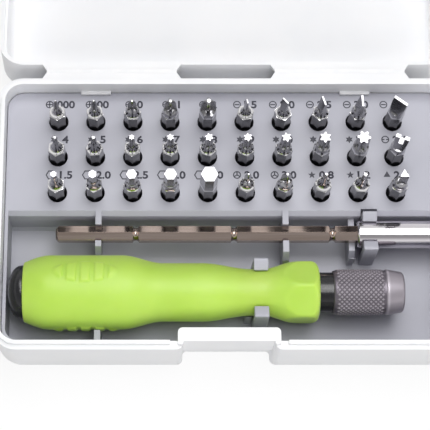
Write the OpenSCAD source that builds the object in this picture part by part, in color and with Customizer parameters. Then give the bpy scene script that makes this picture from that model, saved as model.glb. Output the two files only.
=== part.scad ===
// Precision screwdriver set in a hinged case: bits in a moulded tray, an extension rod and a driver.
// Millimetres, +Z up. The origin is the centre of the case's underside. +X runs along the driver from
// its end cap to its chuck, and +Y runs from the latch to the hinge. The lid is drawn open.

/* [Bits] */
// Width of a shank across its flats
bit_af = 4; // [3.5:0.1:5]
// Length of a bit
bit_len = 28; // [26:0.5:34]
// Length of the full hexagon, from the foot to the shoulder
shank_len = 19; // [15:0.5:20]
// Length of the shaped end of a bit
tip_len = 4; // [3:0.5:5]
// Bevel on the foot of a bit
bit_bevel = 0.4; // [0.2:0.1:0.8]
// Air under a bit in its pocket
bit_seat = 0.05; // [0.02:0.01:0.3]

/* [Tray] */
// Distance between neighbouring pockets
pitch = 10; // [9:0.5:14]
// Clearance round a shank's corners in its pocket
pocket_gap = 0.29; // [0.15:0.01:0.6]
// Depth of a pocket, which is also the height of the step
pocket_deep = 11.5; // [8:0.5:14]
// Wall of the tube round a pocket
tube_wall = 0.9; // [0.6:0.1:1.4]
// Thickness of the tray's floor
tray_floor = 1; // [0.6:0.1:2]
// Height of the skirt that the tray stands on
tray_lift = 4; // [1:0.5:6]
// Thickness of the tray's upright walls
tray_wall = 0.9; // [0.6:0.1:2]
// Thickness of the plate that the pockets open through
tray_top = 1.6; // [1:0.1:3]
// Gap between the tray and the case
tray_gap = 0.2; // [0.1:0.05:0.6]
// From the rear row of pockets to the tray's rear edge
rear_margin = 8.3; // [5:0.1:14]
// From the front row of pockets to the edge of the step
front_margin = 4.9; // [4:0.1:9]
// From the outer columns of pockets to the tray's side walls
side_margin = 12.9; // [5:0.1:18]
// Bevel along the top of the step
step_bevel = 1.2; // [0.4:0.1:2]
// Bevel along the foot of the step
step_foot = 0.9; // [0.3:0.1:2]
// How far the step leans back
step_lean = 0.3; // [0:0.1:1]
// Thickness of the two cross ribs
rib_t = 1.6; // [1:0.1:3]
// Width of the slope where a rib falls towards the driver
shoulder_w = 2; // [0.5:0.1:3]
// Height of that slope
shoulder_h = 3.5; // [1:0.1:5]
// Length of the spring clips along the driver
clip_w = 3.8; // [2.5:0.1:6]
// Thickness of a spring clip's arms
clip_t = 2.2; // [1.2:0.1:3]
// Thickness of the lips of a spring clip
lip_t = 1.3; // [0.8:0.1:2]
// From the middle of the waist to the middle of the driver's clip
clip_off = 1.05; // [0:0.05:2.4]
// From the end of the rod's socket to its clip
clip_set = 1.3; // [0.4:0.1:3]
// How far the lips reach in over the driver's waist
driver_lip = 1.5; // [0.5:0.1:2]
// How far the lips reach in over the rod's socket
rod_lip = 1; // [0.4:0.1:1.6]
// Clearance round the driver and the rod in their seats
seat_gap = 0.25; // [0.15:0.05:0.6]
// Gap between a spring clip and the low rest beside it
rest_gap = 0.4; // [0.2:0.1:2]
// Reach of a rest to each side of its tool
rest_reach = 6.2; // [4.5:0.1:8]
// Drop of a rest's top below the tool's axis
rest_drop = 1.5; // [1:0.1:2.4]
// Room for the rod clip's rear arm, in the bay in the step
bay_gap = 0.25; // [0.1:0.05:0.8]
// From the middle of the thumb pads to the rear rib
rib_off = 3; // [0:0.1:6]
// From the end of the waist to the front rib
rib_ahead = 6.8; // [5.8:0.1:7.4]

/* [Case] */
// Thickness of the base's walls
wall = 2.2; // [2:0.1:3.5]
// Thickness of the base's floor
floor_t = 1.5; // [1:0.1:3]
// Radius of the inside corners
inner_r = 4.6; // [3.5:0.1:9]
// Radius of the outer edges
edge_r = 2; // [0.8:0.1:3]
// Height of the parting ledge above the tray's plate
rim_rise = 5; // [3:0.5:9]
// Thickness of the tongue on the base's rim
tongue_t = 1; // [0.6:0.1:1.1]
// Height of the tongue
tongue_h = 1.5; // [0.8:0.1:2.5]
// Gap between base and lid when the case is closed
part_gap = 0.2; // [0.1:0.05:0.5]
// Thickness of the lid's walls
lid_wall = 1.6; // [1.3:0.1:3]
// Thickness of the lid's plate
lid_top = 1.5; // [1:0.1:3]
// Air above the bits when the case is closed
head_room = 1; // [0.5:0.1:4]
// Distance from the lid's edge to its sunken panel
panel_inset = 11.5; // [7:0.5:20]
// Depth of the lid's sunken panel
panel_deep = 0.4; // [0.2:0.1:0.8]
// Width of the nubs that hold the tray down
nub_w = 8; // [4:0.5:14]
// Distance of those nubs from the middle
nub_x = 35; // [15:1:45]
// Reach of those nubs over the tray
nub_reach = 0.9; // [0.4:0.1:1.5]
// Thickness of those nubs
nub_t = 1; // [0.6:0.1:2]
// Radius inside the lid, along its plate
lid_fillet = 2.2; // [0.8:0.1:3]

/* [Hinge] */
// From the case's rear wall to the fold line
hinge_reach = 2.05; // [1.5:0.05:4]
// From the middle of the case to a strap's inner edge
strap_x = 13.2; // [6:0.1:18]
// Width of a strap
strap_w = 35; // [15:0.5:38]
// Thickness of a strap
strap_t = 1.2; // [0.8:0.1:2]
// How much wider a strap grows at its root, on each side
strap_flare = 1.2; // [0.4:0.1:2]
// Thickness of the film at the fold line
film_d = 0.5; // [0.3:0.05:0.8]
// Clearance between the film and the straps it joins
film_gap = 0.08; // [0.05:0.01:0.2]

/* [Latch] */
// Width of the recess in the base's front wall
latch_w = 23.4; // [18:0.1:34]
// Depth of that recess
latch_d = 3.95; // [3.6:0.05:5]
// Wall round that recess
recess_wall = 1.45; // [1:0.05:2]
// Depth of the ledge in that recess
ledge_d = 2.05; // [1.6:0.05:2.1]
// Height of that ledge, from the rim down to the edge that the lid's hook catches under
ledge_h = 11.8; // [8:0.1:16]
// Radius of the corners at the recess's mouth
mouth_r = 2; // [0.8:0.1:2.1]
// Radius of the recess's corners
recess_r = 1.2; // [0.6:0.1:2]
// Width of the notch in the tongue at each side of the recess
tongue_notch = 2; // [1:0.1:4]
// Thickness of the lid's latch tab
tab_t = 1.4; // [1:0.1:1.8]
// Clearance at each side of the latch tab
tab_gap = 0.8; // [0.4:0.1:2]
// Overlap of the tab's hook and the ledge
catch_bite = 0.3; // [0.2:0.05:0.5]
// Height of the hook
catch_h = 1.2; // [0.8:0.1:2]

/* [Driver] */
// Length of the rise behind the grip's belly
rise_len = 7; // [4:0.5:12]
// Length of the grip's belly
belly_len = 18.5; // [17.5:0.5:26]
// Length of the fall from the belly to the hand part
fall_len = 11; // [6:0.5:16]
// Length of the hand part
hand_len = 10; // [4:0.5:18]
// Length of the fall from the hand part to the waist
dip_len = 13; // [8:0.5:18]
// Length of the waist
waist_len = 2.5; // [2:0.5:8]
// Length of the swell from the waist to the flange
swell_len = 10.5; // [8:0.5:16]
// Length of the flange
flange_len = 2; // [1.5:0.5:6]
// Radius of the flange's front edge
flange_r = 2.5; // [1.2:0.1:3]
// Diameter of the grip at its rear end
rear_d = 15.5; // [14.5:0.1:18]
// Diameter of the belly
belly_d = 19.4; // [18:0.1:22]
// Diameter of the hand part
hand_d = 15.3; // [14:0.1:17]
// Diameter of the waist
waist_d = 12.2; // [11.8:0.1:13.4]
// Diameter of the flange over its six corners
flange_d = 16.9; // [16:0.1:18]
// Width of the flange across its six flats
flange_af = 14.9; // [14.2:0.1:15.8]
// Height of the lobes of a thumb pad
lobe_h = 0.25; // [0.15:0.05:0.6]
// Length of a thumb pad
pad_len = 17.2; // [12:0.1:17.4]
// Width of a thumb pad
pad_w = 6.6; // [4:0.1:8]
// Lobes in a thumb pad
lobes = 5; // [3:1:7]
// Groove between two lobes
lobe_groove = 0.8; // [0.4:0.1:1.4]
// Diameter of the driver's core
core_d = 10.4; // [10:0.1:10.8]
// Gap between the core and the grip moulded over it
grip_gap = 0.05; // [0.03:0.01:0.1]
// Length of core that shows between the grip and the collar
neck_len = 3.6; // [3:0.1:6]
// Diameter of the end cap
cap_d = 14.1; // [12:0.1:15]
// Length of the end cap
cap_len = 4.2; // [3.8:0.1:7]
// Gap between the end cap and the grip
cap_gap = 0.15; // [0.1:0.05:0.4]
// Diameter of the pin that the end cap turns on
pin_d = 3; // [2:0.1:4]
// Length of that pin inside the core
pin_in = 4; // [3:0.5:6]
// Width of the pin's head past the pin, on each side
head_lip = 1.1; // [0.6:0.1:1.5]
// Thickness of the pin's head
head_t = 0.8; // [0.5:0.1:1]
// Cap between the pin's head and the grip
head_at = 1.2; // [0.8:0.1:1.4]
// Core left solid between the pin and the bore
core_web = 2; // [1:0.5:6]
// Running clearance of moving fits, on the radius
run_gap = 0.06; // [0.02:0.01:0.1]
// Gap between the end cap and the tray's side wall
end_gap = 0.3; // [0.2:0.1:3]
// Free room past the driver's nose
nose_room = 12.15; // [6:0.05:20]
// Gap between the driver and the tray's floor
driver_lift = 0.35; // [0.3:0.05:2]
// Room between the driver and the tray's front wall
front_room = 3.1; // [1.5:0.1:8]

/* [Chuck] */
// Length of the sliding collar
collar_len = 18.4; // [17.5:0.1:24]
// Length of the collar's smooth nose
nose_len = 4.8; // [3:0.1:7]
// Diameter over the knurl
collar_d = 12.1; // [11.9:0.1:13.5]
// Diameter of the nose at its front end
nose_d = 10.6; // [10.2:0.1:11.4]
// Depth of the knurl
knurl_deep = 0.3; // [0.1:0.05:0.35]
// Diamonds round the collar
knurl_around = 28; // [16:2:36]
// Rows of diamonds along the collar
knurl_rows = 10; // [6:1:14]
// Length of core inside the collar
core_tuck = 2.3; // [1.5:0.1:3]
// Free length of the return spring
spring_len = 7; // [6:0.1:8]
// Wire of the return spring
spring_wire = 0.6; // [0.4:0.05:0.7]
// Turns of the return spring
spring_turns = 5; // [3:0.5:5]
// Outside diameter of the chuck sleeve
sleeve_d = 7.6; // [7.2:0.1:7.8]
// Diameter of the sleeve's shank inside the core
sleeve_shank_d = 6.8; // [6:0.1:7.2]
// Length of that shank
sleeve_in = 12; // [8:0.5:18]
// Clearance of a hexagonal socket across its flats
socket_gap = 0.12; // [0.06:0.02:0.3]
// Diameter of the locking ball
ball_d = 2; // [1.6:0.1:2.2]
// Thickness of the stop ring
ring_t = 0.6; // [0.4:0.1:1]
// From the collar's front end to the stop ring
ring_back = 2.4; // [1.8:0.1:3]
// Depth of the stop ring's groove
ring_deep = 0.4; // [0.3:0.05:0.6]
// Height of the stop ring outside the sleeve
ring_lip = 0.75; // [0.5:0.05:0.8]
// Room for the stop ring inside the collar
ring_gap = 0.25; // [0.15:0.05:0.4]
// Gap left behind the collar when it is drawn back
draw_gap = 0.4; // [0.2:0.1:1]
// How far the locking ball moves outwards when it is freed
ball_play = 0.3; // [0.2:0.05:0.4]
// From the collar's front end back to the sleeve's end
sleeve_back = 0.4; // [0.2:0.1:0.8]
// Width of the funnel at the mouth of the chuck
mouth = 0.6; // [0.3:0.1:0.9]
// Edges of the collar's nose
nose_edge = 0.4; // [0.2:0.05:0.6]

/* [Rod] */
// Length of hexagon between the rod's end and its socket
rod_len = 79.8; // [70:0.1:95]
// From the tray's side wall to the rod's end
rod_start = 12.6; // [3:0.1:20]
// From the rod's end to its first neck
neck_first = 21.2; // [10:0.1:26]
// Distance between necks
neck_pitch = 26; // [20:0.1:29]
// Diameter at the bottom of a neck
neck_d = 3.3; // [2.6:0.1:3.6]
// Radius of a neck's hollow
neck_r = 0.9; // [0.5:0.1:1.4]
// Length of the round socket
socket_len = 22.5; // [20:0.1:30]
// Diameter of the round socket
socket_d = 7.4; // [6.8:0.1:9]
// Length of rod held inside the socket
rod_in = 6.6; // [4:0.1:8]
// Depth of the bit's seat in the socket
seat_deep = 10; // [8:0.5:12]
// Thickness of the socket's magnet
magnet_t = 3; // [1.5:0.1:3.5]
// Diameter of the socket's magnet
magnet_d = 3.8; // [2.5:0.1:3.9]
// Bevel on the rod's end and the socket's edges
rod_bevel = 0.8; // [0.3:0.1:1.2]
// Gap between the socket and the tray's side wall
rod_end_gap = 0.9; // [0.3:0.1:6]
// Depth of the rod's axis below the tray's plate
rod_sink = 2.2; // [1.5:0.1:3]
// Room between the socket and the step
rod_back_gap = 2.25; // [1.5:0.05:6]
// Room between the socket and the grip's belly
tool_gap = 2.35; // [1.5:0.05:6]

/* [Hidden] */
$fn = 48;
COLUMNS = 10;
ROWS = 3;
// Each bit: its node, the shape of its tip, tip width, second tip size, neck diameter and turn
BITS = [
  ["bit_cross_000", "cross", 1.5, 0.2, 2, 30],
  ["bit_cross_00", "cross", 1.9, 0.25, 2.4, 45],
  ["bit_cross_0", "cross", 2.5, 0.3, 2.9, 3],
  ["bit_cross_1", "cross", 3.4, 0.4, 3.7, 5],
  ["bit_cross_2", "cross", 4.2, 0.5, 4.4, 0],
  ["bit_slot_1_5", "slot", 1.5, 0.3, 2, 10],
  ["bit_slot_2_0", "slot", 2, 0.35, 2.3, 41],
  ["bit_slot_2_5", "slot", 2.5, 0.4, 2.6, 18],
  ["bit_slot_3_0", "slot", 3, 0.5, 3.1, 3],
  ["bit_slot_4_0", "slot", 4, 0.7, 4.3, 53],
  ["bit_star_4", "star", 1.3, 6, 2.2, 25],
  ["bit_star_5", "star", 1.45, 6, 2.3, 5],
  ["bit_star_6", "star", 1.7, 6, 2.4, 27],
  ["bit_star_7", "star", 2, 6, 2.5, 36],
  ["bit_star_8", "star", 2.3, 6, 2.6, 44],
  ["bit_star_9", "star", 2.5, 6, 2.8, 36],
  ["bit_star_10", "star", 2.75, 6, 3, 41],
  ["bit_star_15", "star", 3.3, 6, 3.5, 27],
  ["bit_star_20", "star", 3.85, 6, 4.1, 55],
  ["bit_fork_2_6", "fork", 3.6, 1, 4, 70],
  ["bit_hex_1_5", "hex", 1.5, 0.2, 2.3, 27],
  ["bit_hex_2_0", "hex", 2, 0.25, 2.6, 28],
  ["bit_hex_2_5", "hex", 2.5, 0.3, 3.1, 5],
  ["bit_hex_3_0", "hex", 3, 0.35, 3.6, 0],
  ["bit_hex_4_0", "hex", 4, 0.4, 4.4, 0],
  ["bit_wing_2_0", "wing", 2, 0.45, 2.4, 30],
  ["bit_wing_3_0", "wing", 3, 0.6, 3.2, 36],
  ["bit_five_star_0_8", "star", 1.1, 5, 2, 41],
  ["bit_five_star_1_2", "star", 1.5, 5, 2.2, 55],
  ["bit_triangle_2_3", "triangle", 3, 0.3, 3.4, 90]
];
CASE_NODES = ["case_base", "case_lid", "hinge_films", "bit_tray", "tool_tray", "tray_walls", "tray_ribs",
  "driver_clip", "rod_clip"];
DRIVER_NODES = ["handle_core", "handle_grip", "end_cap", "cap_pin", "chuck_sleeve", "chuck_collar",
  "collar_spring", "lock_ball", "stop_ring"];
ROD_NODES = ["extension_rod", "rod_socket", "socket_magnet"];

// A small step past a face that a cut has to clear
eps = 0.01;
// Longer than any part of the set
far = 400;
hex_c = 1 / cos(30);

// Heights
trough_z = floor_t + tray_lift + tray_floor;
plateau_z = trough_z + pocket_deep;
base_h = plateau_z + rim_rise;
tip_z = trough_z + bit_seat + bit_len;

// Driver stations, from the grip's rear end to the front
belly_at = rise_len;
fall_at = belly_at + belly_len;
hand_at = fall_at + fall_len;
dip_at = hand_at + hand_len;
waist_at = dip_at + dip_len;
swell_at = waist_at + waist_len;
flange_at = swell_at + swell_len;
round_at = flange_at + flange_len;
grip_len = round_at + flange_r;
collar_at = grip_len + neck_len;
GRIP_S = [0, belly_at, fall_at, hand_at, dip_at, waist_at, swell_at, flange_at, round_at];
GRIP_D = [rear_d, belly_d, belly_d, hand_d, hand_d, waist_d, waist_d, flange_d, flange_d];
pad_at = belly_at + belly_len / 2;
driver_len = cap_len + cap_gap + collar_at + collar_len;
driver_top_r = belly_d / 2 + lobe_h;

// Lengths that the contents need, and the inside of the case round them
rod_total = rod_len + socket_len;
trough_w = max(end_gap + driver_len + nose_room, rod_start + rod_total + rod_end_gap,
  (COLUMNS - 1) * pitch + 2 * side_margin);
inner_w = trough_w + 2 * (tray_wall + tray_gap);
rod_back = socket_d / 2 + rod_back_gap;
rod_to_driver = socket_d / 2 + driver_top_r + tool_gap;
driver_front = driver_top_r + front_room + tray_wall;
tray_d = rear_margin + (ROWS - 1) * pitch + front_margin + rod_back + rod_to_driver + driver_front;
inner_d = tray_d + 2 * tray_gap;
tray_w = trough_w + 2 * tray_wall;
tray_r = inner_r - tray_gap;

// Places
trough_x0 = -trough_w / 2;
tray_front = -tray_d / 2;
rear_row_y = tray_d / 2 - rear_margin;
step_y = rear_row_y - (ROWS - 1) * pitch - front_margin;
rod_y = step_y - rod_back;
rod_z = plateau_z - rod_sink;
step_foot_y = step_y - step_bevel - step_lean - step_foot;
rod_x = trough_x0 + rod_start;
socket_x = rod_x + rod_len;
driver_y = rod_y - rod_to_driver;
driver_z = trough_z + driver_top_r + driver_lift;
grip_x = trough_x0 + end_gap + cap_len + cap_gap;

// Case outline
outer_r = inner_r + wall;
outer_w = inner_w + 2 * wall;
outer_d = inner_d + 2 * wall;
corner_x = inner_w / 2 - inner_r;
corner_y = inner_d / 2 - inner_r;
rim_z = base_h + tongue_h;
lid_z0 = base_h + part_gap;
lid_z1 = max(tip_z, driver_z + driver_top_r) + head_room + lid_top;
lip_in = wall - tongue_t - part_gap;
front_y = -outer_d / 2;
ledge_z = rim_z - ledge_h;
tab_drop = lid_z0 - ledge_z + part_gap + catch_h;

// Hinge line, and the angle at which the open lid's far edge touches the table
axis_y = outer_d / 2 + hinge_reach;
axis_z = base_h + part_gap / 2;
leaf_end = film_d / 2 + film_gap;
lid_reach = outer_d + hinge_reach - edge_r;
lid_drop = lid_z1 - axis_z - edge_r;
lid_tilt = asin((axis_z - edge_r) / norm([lid_reach, lid_drop])) - atan2(lid_drop, lid_reach);
lid_angle = 180 + lid_tilt;

// Chuck
bit_r = bit_af / 2 * hex_c;
pocket_r = bit_r + pocket_gap;
core_r = core_d / 2;
core_end = collar_at + core_tuck;
sleeve_r = sleeve_d / 2;
land_r = sleeve_r + run_gap;
shoulder_at = core_end + spring_len;
ring_at = collar_at + collar_len - ring_back;
land_end = ring_at - ring_gap;
draw = neck_len - draw_gap;
ball_at = land_end - draw - run_gap;
ball_out = land_r - ball_d / 2 - run_gap;
socket_af = bit_af + socket_gap;
spring_r = (sleeve_r + core_r + run_gap) / 2;
ring_in = sleeve_r - ring_deep;
ring_out = sleeve_r + ring_lip;
head_r = pin_d / 2 + head_lip;

echo(lid_angle = lid_angle, axis_y = axis_y, axis_z = axis_z, grip_x = grip_x);
echo(outer_w = outer_w, outer_d = outer_d, closed_h = lid_z1, draw = draw, ball_play = ball_play);
echo(driver_y = driver_y, driver_z = driver_z, rod_x = rod_x, rod_y = rod_y, rod_z = rod_z);
echo(trough_z = trough_z, spring_x = grip_x + core_end, nose_s = collar_at + collar_len - sleeve_back);
echo(rod_end_x = socket_x + socket_len);

// Points of an arc, with n steps
function arc(cx, cy, r, a0, a1, n = 6) =
  [for (i = [0:n]) let (a = a0 + (a1 - a0) * i / n) [cx + r * cos(a), cy + r * sin(a)]];

// Radius of the grip at a distance from its rear end
function ease(t) = (1 - cos(180 * t)) / 2;
function stretch(s, i = 0) = (i >= len(GRIP_S) - 2 || s <= GRIP_S[i + 1]) ? i : stretch(s, i + 1);
function grip_r(s) =
  s > round_at ? flange_d / 2 - flange_r + sqrt(max(0, flange_r * flange_r - pow(s - round_at, 2))) :
  let (i = stretch(s), t = (s - GRIP_S[i]) / (GRIP_S[i + 1] - GRIP_S[i]))
  let (k = i == 0 ? sin(90 * t) : ease(t))
  (GRIP_D[i] + (GRIP_D[i + 1] - GRIP_D[i]) * k) / 2;
GRIP_STEPS = 64;
GRIP_PROFILE = [for (i = [0:GRIP_STEPS]) let (s = grip_len * i / GRIP_STEPS) [grip_r(s), s]];

// Places of the spring clips, and the grip's radius under one of them
clip_s = waist_at + waist_len / 2 + clip_off;
driver_clip_r = max(grip_r(clip_s - clip_w / 2), grip_r(clip_s + clip_w / 2));
rod_clip_x = socket_x + clip_w / 2 + clip_set;

// A rectangle with round corners
module rounded(w, d, r) {
  square([w - 2 * r, d], center = true);
  square([w, d - 2 * r], center = true);
  for (x = [-1, 1], y = [-1, 1])
    translate([x * (w / 2 - r), y * (d / 2 - r)]) circle(r);
}

// Sweeps a wall section round the case's outline. The section's first coordinate is measured outwards
// from the corners' centres, its second is the height.
module round_case(section) {
  corners = [[corner_x, corner_y], [-corner_x, corner_y], [-corner_x, -corner_y], [corner_x, -corner_y]];
  for (k = [0:3])
    translate(corners[k]) rotate(90 * k) rotate_extrude(angle = 90) polygon(section);
  for (k = [0:3])
    rotate(90 * k) translate([k % 2 == 0 ? corner_x : corner_y, 0, 0]) rotate([90, 0, 0])
      linear_extrude(2 * (k % 2 == 0 ? corner_y : corner_x), center = true) polygon(section);
}

// Lays a profile drawn in Y and Z along X
module along_x(length) {
  rotate([90, 0, 90]) linear_extrude(length, center = true) children();
}

// Turns a revolved piece so that its axis runs along the driver, from a station on the grip
module on_driver(s = 0) {
  translate([grip_x + s, driver_y, driver_z]) rotate([0, 90, 0]) children();
}

// One leaf of each strap, from the case's wall to just short of the fold line, in plan
module leaves() {
  for (x = [-1, 1])
    translate([x * (strap_x + strap_w / 2), 0])
      polygon([[-strap_w / 2 - strap_flare, -eps * 10], [strap_w / 2 + strap_flare, -eps * 10],
        [strap_w / 2, hinge_reach - leaf_end], [-strap_w / 2, hinge_reach - leaf_end]]);
}

// Plan of the recess, or of the wall round it, up to a line behind the front face
module recess_plan(grow, from) {
  deep = front_y + latch_d + grow - from;
  translate([0, from + deep / 2]) rounded(latch_w + 2 * grow, deep, recess_r);
}

// Plan of what the recess takes from the front wall, with round corners at its mouth
module recess_cut() {
  recess_plan(0, front_y - wall);
  for (side = [0, 1]) mirror([side, 0]) difference() {
    translate([latch_w / 2 - eps, front_y - 1]) square([mouth_r + eps, mouth_r + 1]);
    translate([latch_w / 2 + mouth_r, front_y + mouth_r]) circle(mouth_r);
  }
}

module case_base() {
  section = concat(
    [[0, 0]],
    arc(outer_r - edge_r, edge_r, edge_r, -90, 0),
    [[outer_r, base_h], [inner_r + tongue_t, base_h], [inner_r + tongue_t, rim_z], [inner_r, rim_z],
      [inner_r, floor_t], [0, floor_t]]);
  recess_back = front_y + latch_d;
  block_w = latch_w + 2 * recess_wall;
  color("whitesmoke") {
    difference() {
      union() {
        round_case(section);
        translate([-corner_x, -corner_y, 0]) cube([2 * corner_x, 2 * corner_y, floor_t]);
        linear_extrude(rim_z) recess_plan(recess_wall, front_y + wall - recess_r);
      }
      translate([0, 0, -1]) linear_extrude(far) recess_cut();
      for (x = [-1, 1])
        translate([x * (block_w + tongue_notch) / 2 - tongue_notch / 2, front_y - 1, base_h])
          cube([tongue_notch, wall + 1 + eps, tongue_h + 1]);
    }
    // Ledge that the lid's hook catches under
    translate([-latch_w / 2 - eps, recess_back - ledge_d, ledge_z])
      cube([latch_w + 2 * eps, ledge_d + eps, ledge_h]);
    // Nubs that hold the tray down
    for (x = [-1, 1])
      translate([x * nub_x - nub_w / 2, inner_d / 2 - nub_reach, plateau_z + part_gap])
        cube([nub_w, nub_reach + eps, nub_t]);
    // Hinge straps
    translate([0, outer_d / 2, base_h - strap_t]) linear_extrude(strap_t) leaves();
  }
}

// Hook of the latch tab, half as long as the latch is wide
module tab_hook() {
  reach = latch_d - ledge_d - tab_t + catch_bite;
  along_x(latch_w / 2)
    polygon([[-eps, 0], [reach, catch_h * 0.4], [reach, catch_h * 0.8], [-eps, catch_h]]);
}

// The lid as it lies on the closed case
module lid_closed() {
  lid_in = outer_r - lid_wall;
  ceiling = lid_z1 - lid_top;
  lip_z = lid_z0 + tongue_h + part_gap;
  section = concat(
    [[0, lid_z1], [0, ceiling]],
    arc(lid_in - lid_fillet, ceiling - lid_fillet, lid_fillet, 90, 0, 5),
    [[lid_in, lip_z], [outer_r - lip_in, lip_z], [outer_r - lip_in, lid_z0], [outer_r, lid_z0]],
    arc(outer_r - edge_r, lid_z1 - edge_r, edge_r, 0, 90));
  difference() {
    union() {
      round_case(section);
      translate([-corner_x, -corner_y, ceiling]) cube([2 * corner_x, 2 * corner_y, lid_top]);
      // Latch tab and its hook
      translate([-latch_w / 2 + tab_gap, front_y, lid_z0 - tab_drop])
        cube([latch_w - 2 * tab_gap, tab_t, tab_drop + edge_r]);
      translate([0, front_y + tab_t, lid_z0 - tab_drop]) tab_hook();
      translate([0, outer_d / 2, lid_z0]) linear_extrude(strap_t) leaves();
    }
    translate([0, 0, lid_z1 - panel_deep]) linear_extrude(lid_top)
      rounded(outer_w - 2 * panel_inset, outer_d - 2 * panel_inset, inner_r);
  }
}

module case_lid() {
  color("white")
    translate([0, axis_y, axis_z]) rotate([-lid_angle, 0, 0]) translate([0, -axis_y, -axis_z])
      lid_closed();
}

module hinge_films() {
  color("gainsboro")
    for (x = [-1, 1])
      translate([x * (strap_x + strap_w / 2), axis_y, axis_z]) rotate([0, 90, 0])
        cylinder(d = film_d, h = strap_w, center = true);
}

// Outline of the tray, drawn in from its edge, with the notch behind the latch
module tray_plan(inset) {
  notch_w = latch_w + 2 * (recess_wall + tray_gap);
  notch_d = latch_d + recess_wall - wall;
  difference() {
    rounded(tray_w - 2 * inset, tray_d - 2 * inset, tray_r - inset);
    translate([-notch_w / 2, tray_front - 1]) square([notch_w, notch_d + 1]);
  }
}

// Profile of the space in front of the step
module trough_profile() {
  polygon([[-far, trough_z], [step_foot_y, trough_z],
    [step_y - step_bevel - step_lean, trough_z + step_foot], [step_y - step_bevel, plateau_z - step_bevel],
    [step_y, plateau_z], [step_y, plateau_z + 1], [-far, plateau_z + 1]]);
}

module at_pockets() {
  for (row = [0:ROWS - 1], column = [0:COLUMNS - 1])
    translate([(column - (COLUMNS - 1) / 2) * pitch, rear_row_y - row * pitch, 0]) children();
}

// A cross plate with a notch for the rod and a saddle for the driver
module rib(x, y0, y1, top, saddle_r) {
  notch_w = bit_af + 2 * seat_gap * cos(30);
  translate([x, 0, 0]) along_x(rib_t) difference() {
    translate([y0, trough_z - 1]) square([y1 - y0, top - trough_z + 1]);
    translate([rod_y, rod_z]) {
      rotate(90) circle(r = bit_r + seat_gap, $fn = 6);
      translate([-notch_w / 2, 0]) square([notch_w, far]);
    }
    translate([driver_y, driver_z]) {
      circle(saddle_r);
      translate([-saddle_r, 0]) square([2 * saddle_r, far]);
    }
    translate([driver_y + saddle_r - eps, top])
      polygon([[0, -shoulder_h], [shoulder_w, 0], [shoulder_w, 1], [0, 1]]);
  }
}

// The space in front of the step, inside the tray's walls
module trough() {
  intersection() {
    translate([0, 0, trough_z - 1]) linear_extrude(pocket_deep + 2) tray_plan(tray_wall);
    along_x(far) trough_profile();
  }
}

// The straight walls round the trough, between its corners and the notch, or the room that they take
module straight_walls(over) {
  side_y = tray_front + tray_r;
  run_x = latch_w / 2 + recess_wall + tray_gap;
  for (side = [0, 1]) mirror([side, 0, 0]) {
    translate([tray_w / 2 - tray_wall - over, side_y, trough_z])
      cube([tray_wall + 2 * over, step_foot_y - side_y + over, pocket_deep + over]);
    translate([run_x, tray_front - over, trough_z])
      cube([tray_w / 2 - tray_r - run_x, tray_wall + 2 * over, pocket_deep + over]);
  }
}

// The straight walls as a piece of their own
module tray_walls() {
  color("silver") straight_walls(0);
}

// The ribs right across the trough, and the low rests beside the clips
module tray_ribs() {
  beside = clip_w / 2 + rest_gap + rib_t / 2;
  rest_s = clip_s - beside;
  color("silver") intersection() {
    trough();
    union() {
      rib(grip_x + pad_at + rib_off, tray_front, step_y, plateau_z, driver_top_r + seat_gap);
      rib(grip_x + swell_at + rib_ahead, driver_y, step_y, plateau_z, flange_d / 2 + seat_gap);
      rib(grip_x + rest_s, driver_y - rest_reach, driver_y + rest_reach, driver_z - rest_drop,
        max(grip_r(rest_s - rib_t / 2), grip_r(rest_s + rib_t / 2)) + seat_gap);
      rib(socket_x - rest_gap - rib_t / 2, rod_y - rest_reach, rod_y + rest_reach, rod_z - rest_drop,
        driver_top_r);
    }
  }
}

// The moulding that the tools lie in, without its ribs
module tray() {
  under_z = plateau_z - tray_top;
  bay_w = clip_w + 2 * bay_gap;
  bay_back = rod_y + socket_d / 2 + seat_gap + clip_t + bay_gap;
  color("silver") difference() {
    union() {
      translate([rod_clip_x - bay_w / 2 - tray_wall, step_y, floor_t])
        cube([bay_w + 2 * tray_wall, max(0, bay_back - step_y) + tray_wall, plateau_z - floor_t]);
      difference() {
        translate([0, 0, floor_t]) linear_extrude(plateau_z - floor_t) tray_plan(0);
        intersection() {
          translate([0, 0, floor_t - 1]) linear_extrude(under_z - floor_t + 1) tray_plan(tray_wall);
          translate([-far / 2, step_y + tray_wall, 0]) cube(far);
        }
        translate([0, 0, floor_t - 1]) linear_extrude(tray_lift + 1) tray_plan(tray_wall);
      }
      translate([0, 0, floor_t]) at_pockets()
        cylinder(r = pocket_r + tube_wall, h = under_z - floor_t + eps);
    }
    trough();
    translate([rod_clip_x - bay_w / 2, rod_y, trough_z]) cube([bay_w, bay_back - rod_y, far]);
    translate([0, 0, trough_z]) at_pockets() cylinder(r = pocket_r, h = far);
  }
}

// The part of the moulding with the pockets, behind the foot of the step
module bit_tray() {
  intersection() {
    tray();
    translate([-far / 2, step_foot_y, 0]) cube(far);
  }
}

// The floor and corners of the trough, in front of the foot of the step
module tool_tray() {
  difference() {
    intersection() {
      tray();
      translate([-far / 2, step_foot_y - far, 0]) cube(far);
    }
    straight_walls(tray_gap);
  }
}

// Two arms that spring over a round tool, with lips that reach in over it
module spring_clip(x, y, z, tool_r, lip) {
  r = tool_r + seat_gap;
  lip_y = tool_r - lip;
  top = sqrt(r * r - lip_y * lip_y) + lip_t;
  translate([x, y, z]) along_x(clip_w) difference() {
    for (side = [0, 1])
      mirror([side, 0]) polygon([[lip_y, top - lip_t], [lip_y, top - lip_t * 0.6], [r + clip_t * 0.2, top],
        [r + clip_t * 0.6, top], [r + clip_t * 0.8, 0], [r + clip_t, trough_z - z], [r, trough_z - z],
        [r, 0], [lip_y, 0]]);
    circle(r);
  }
}

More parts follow.
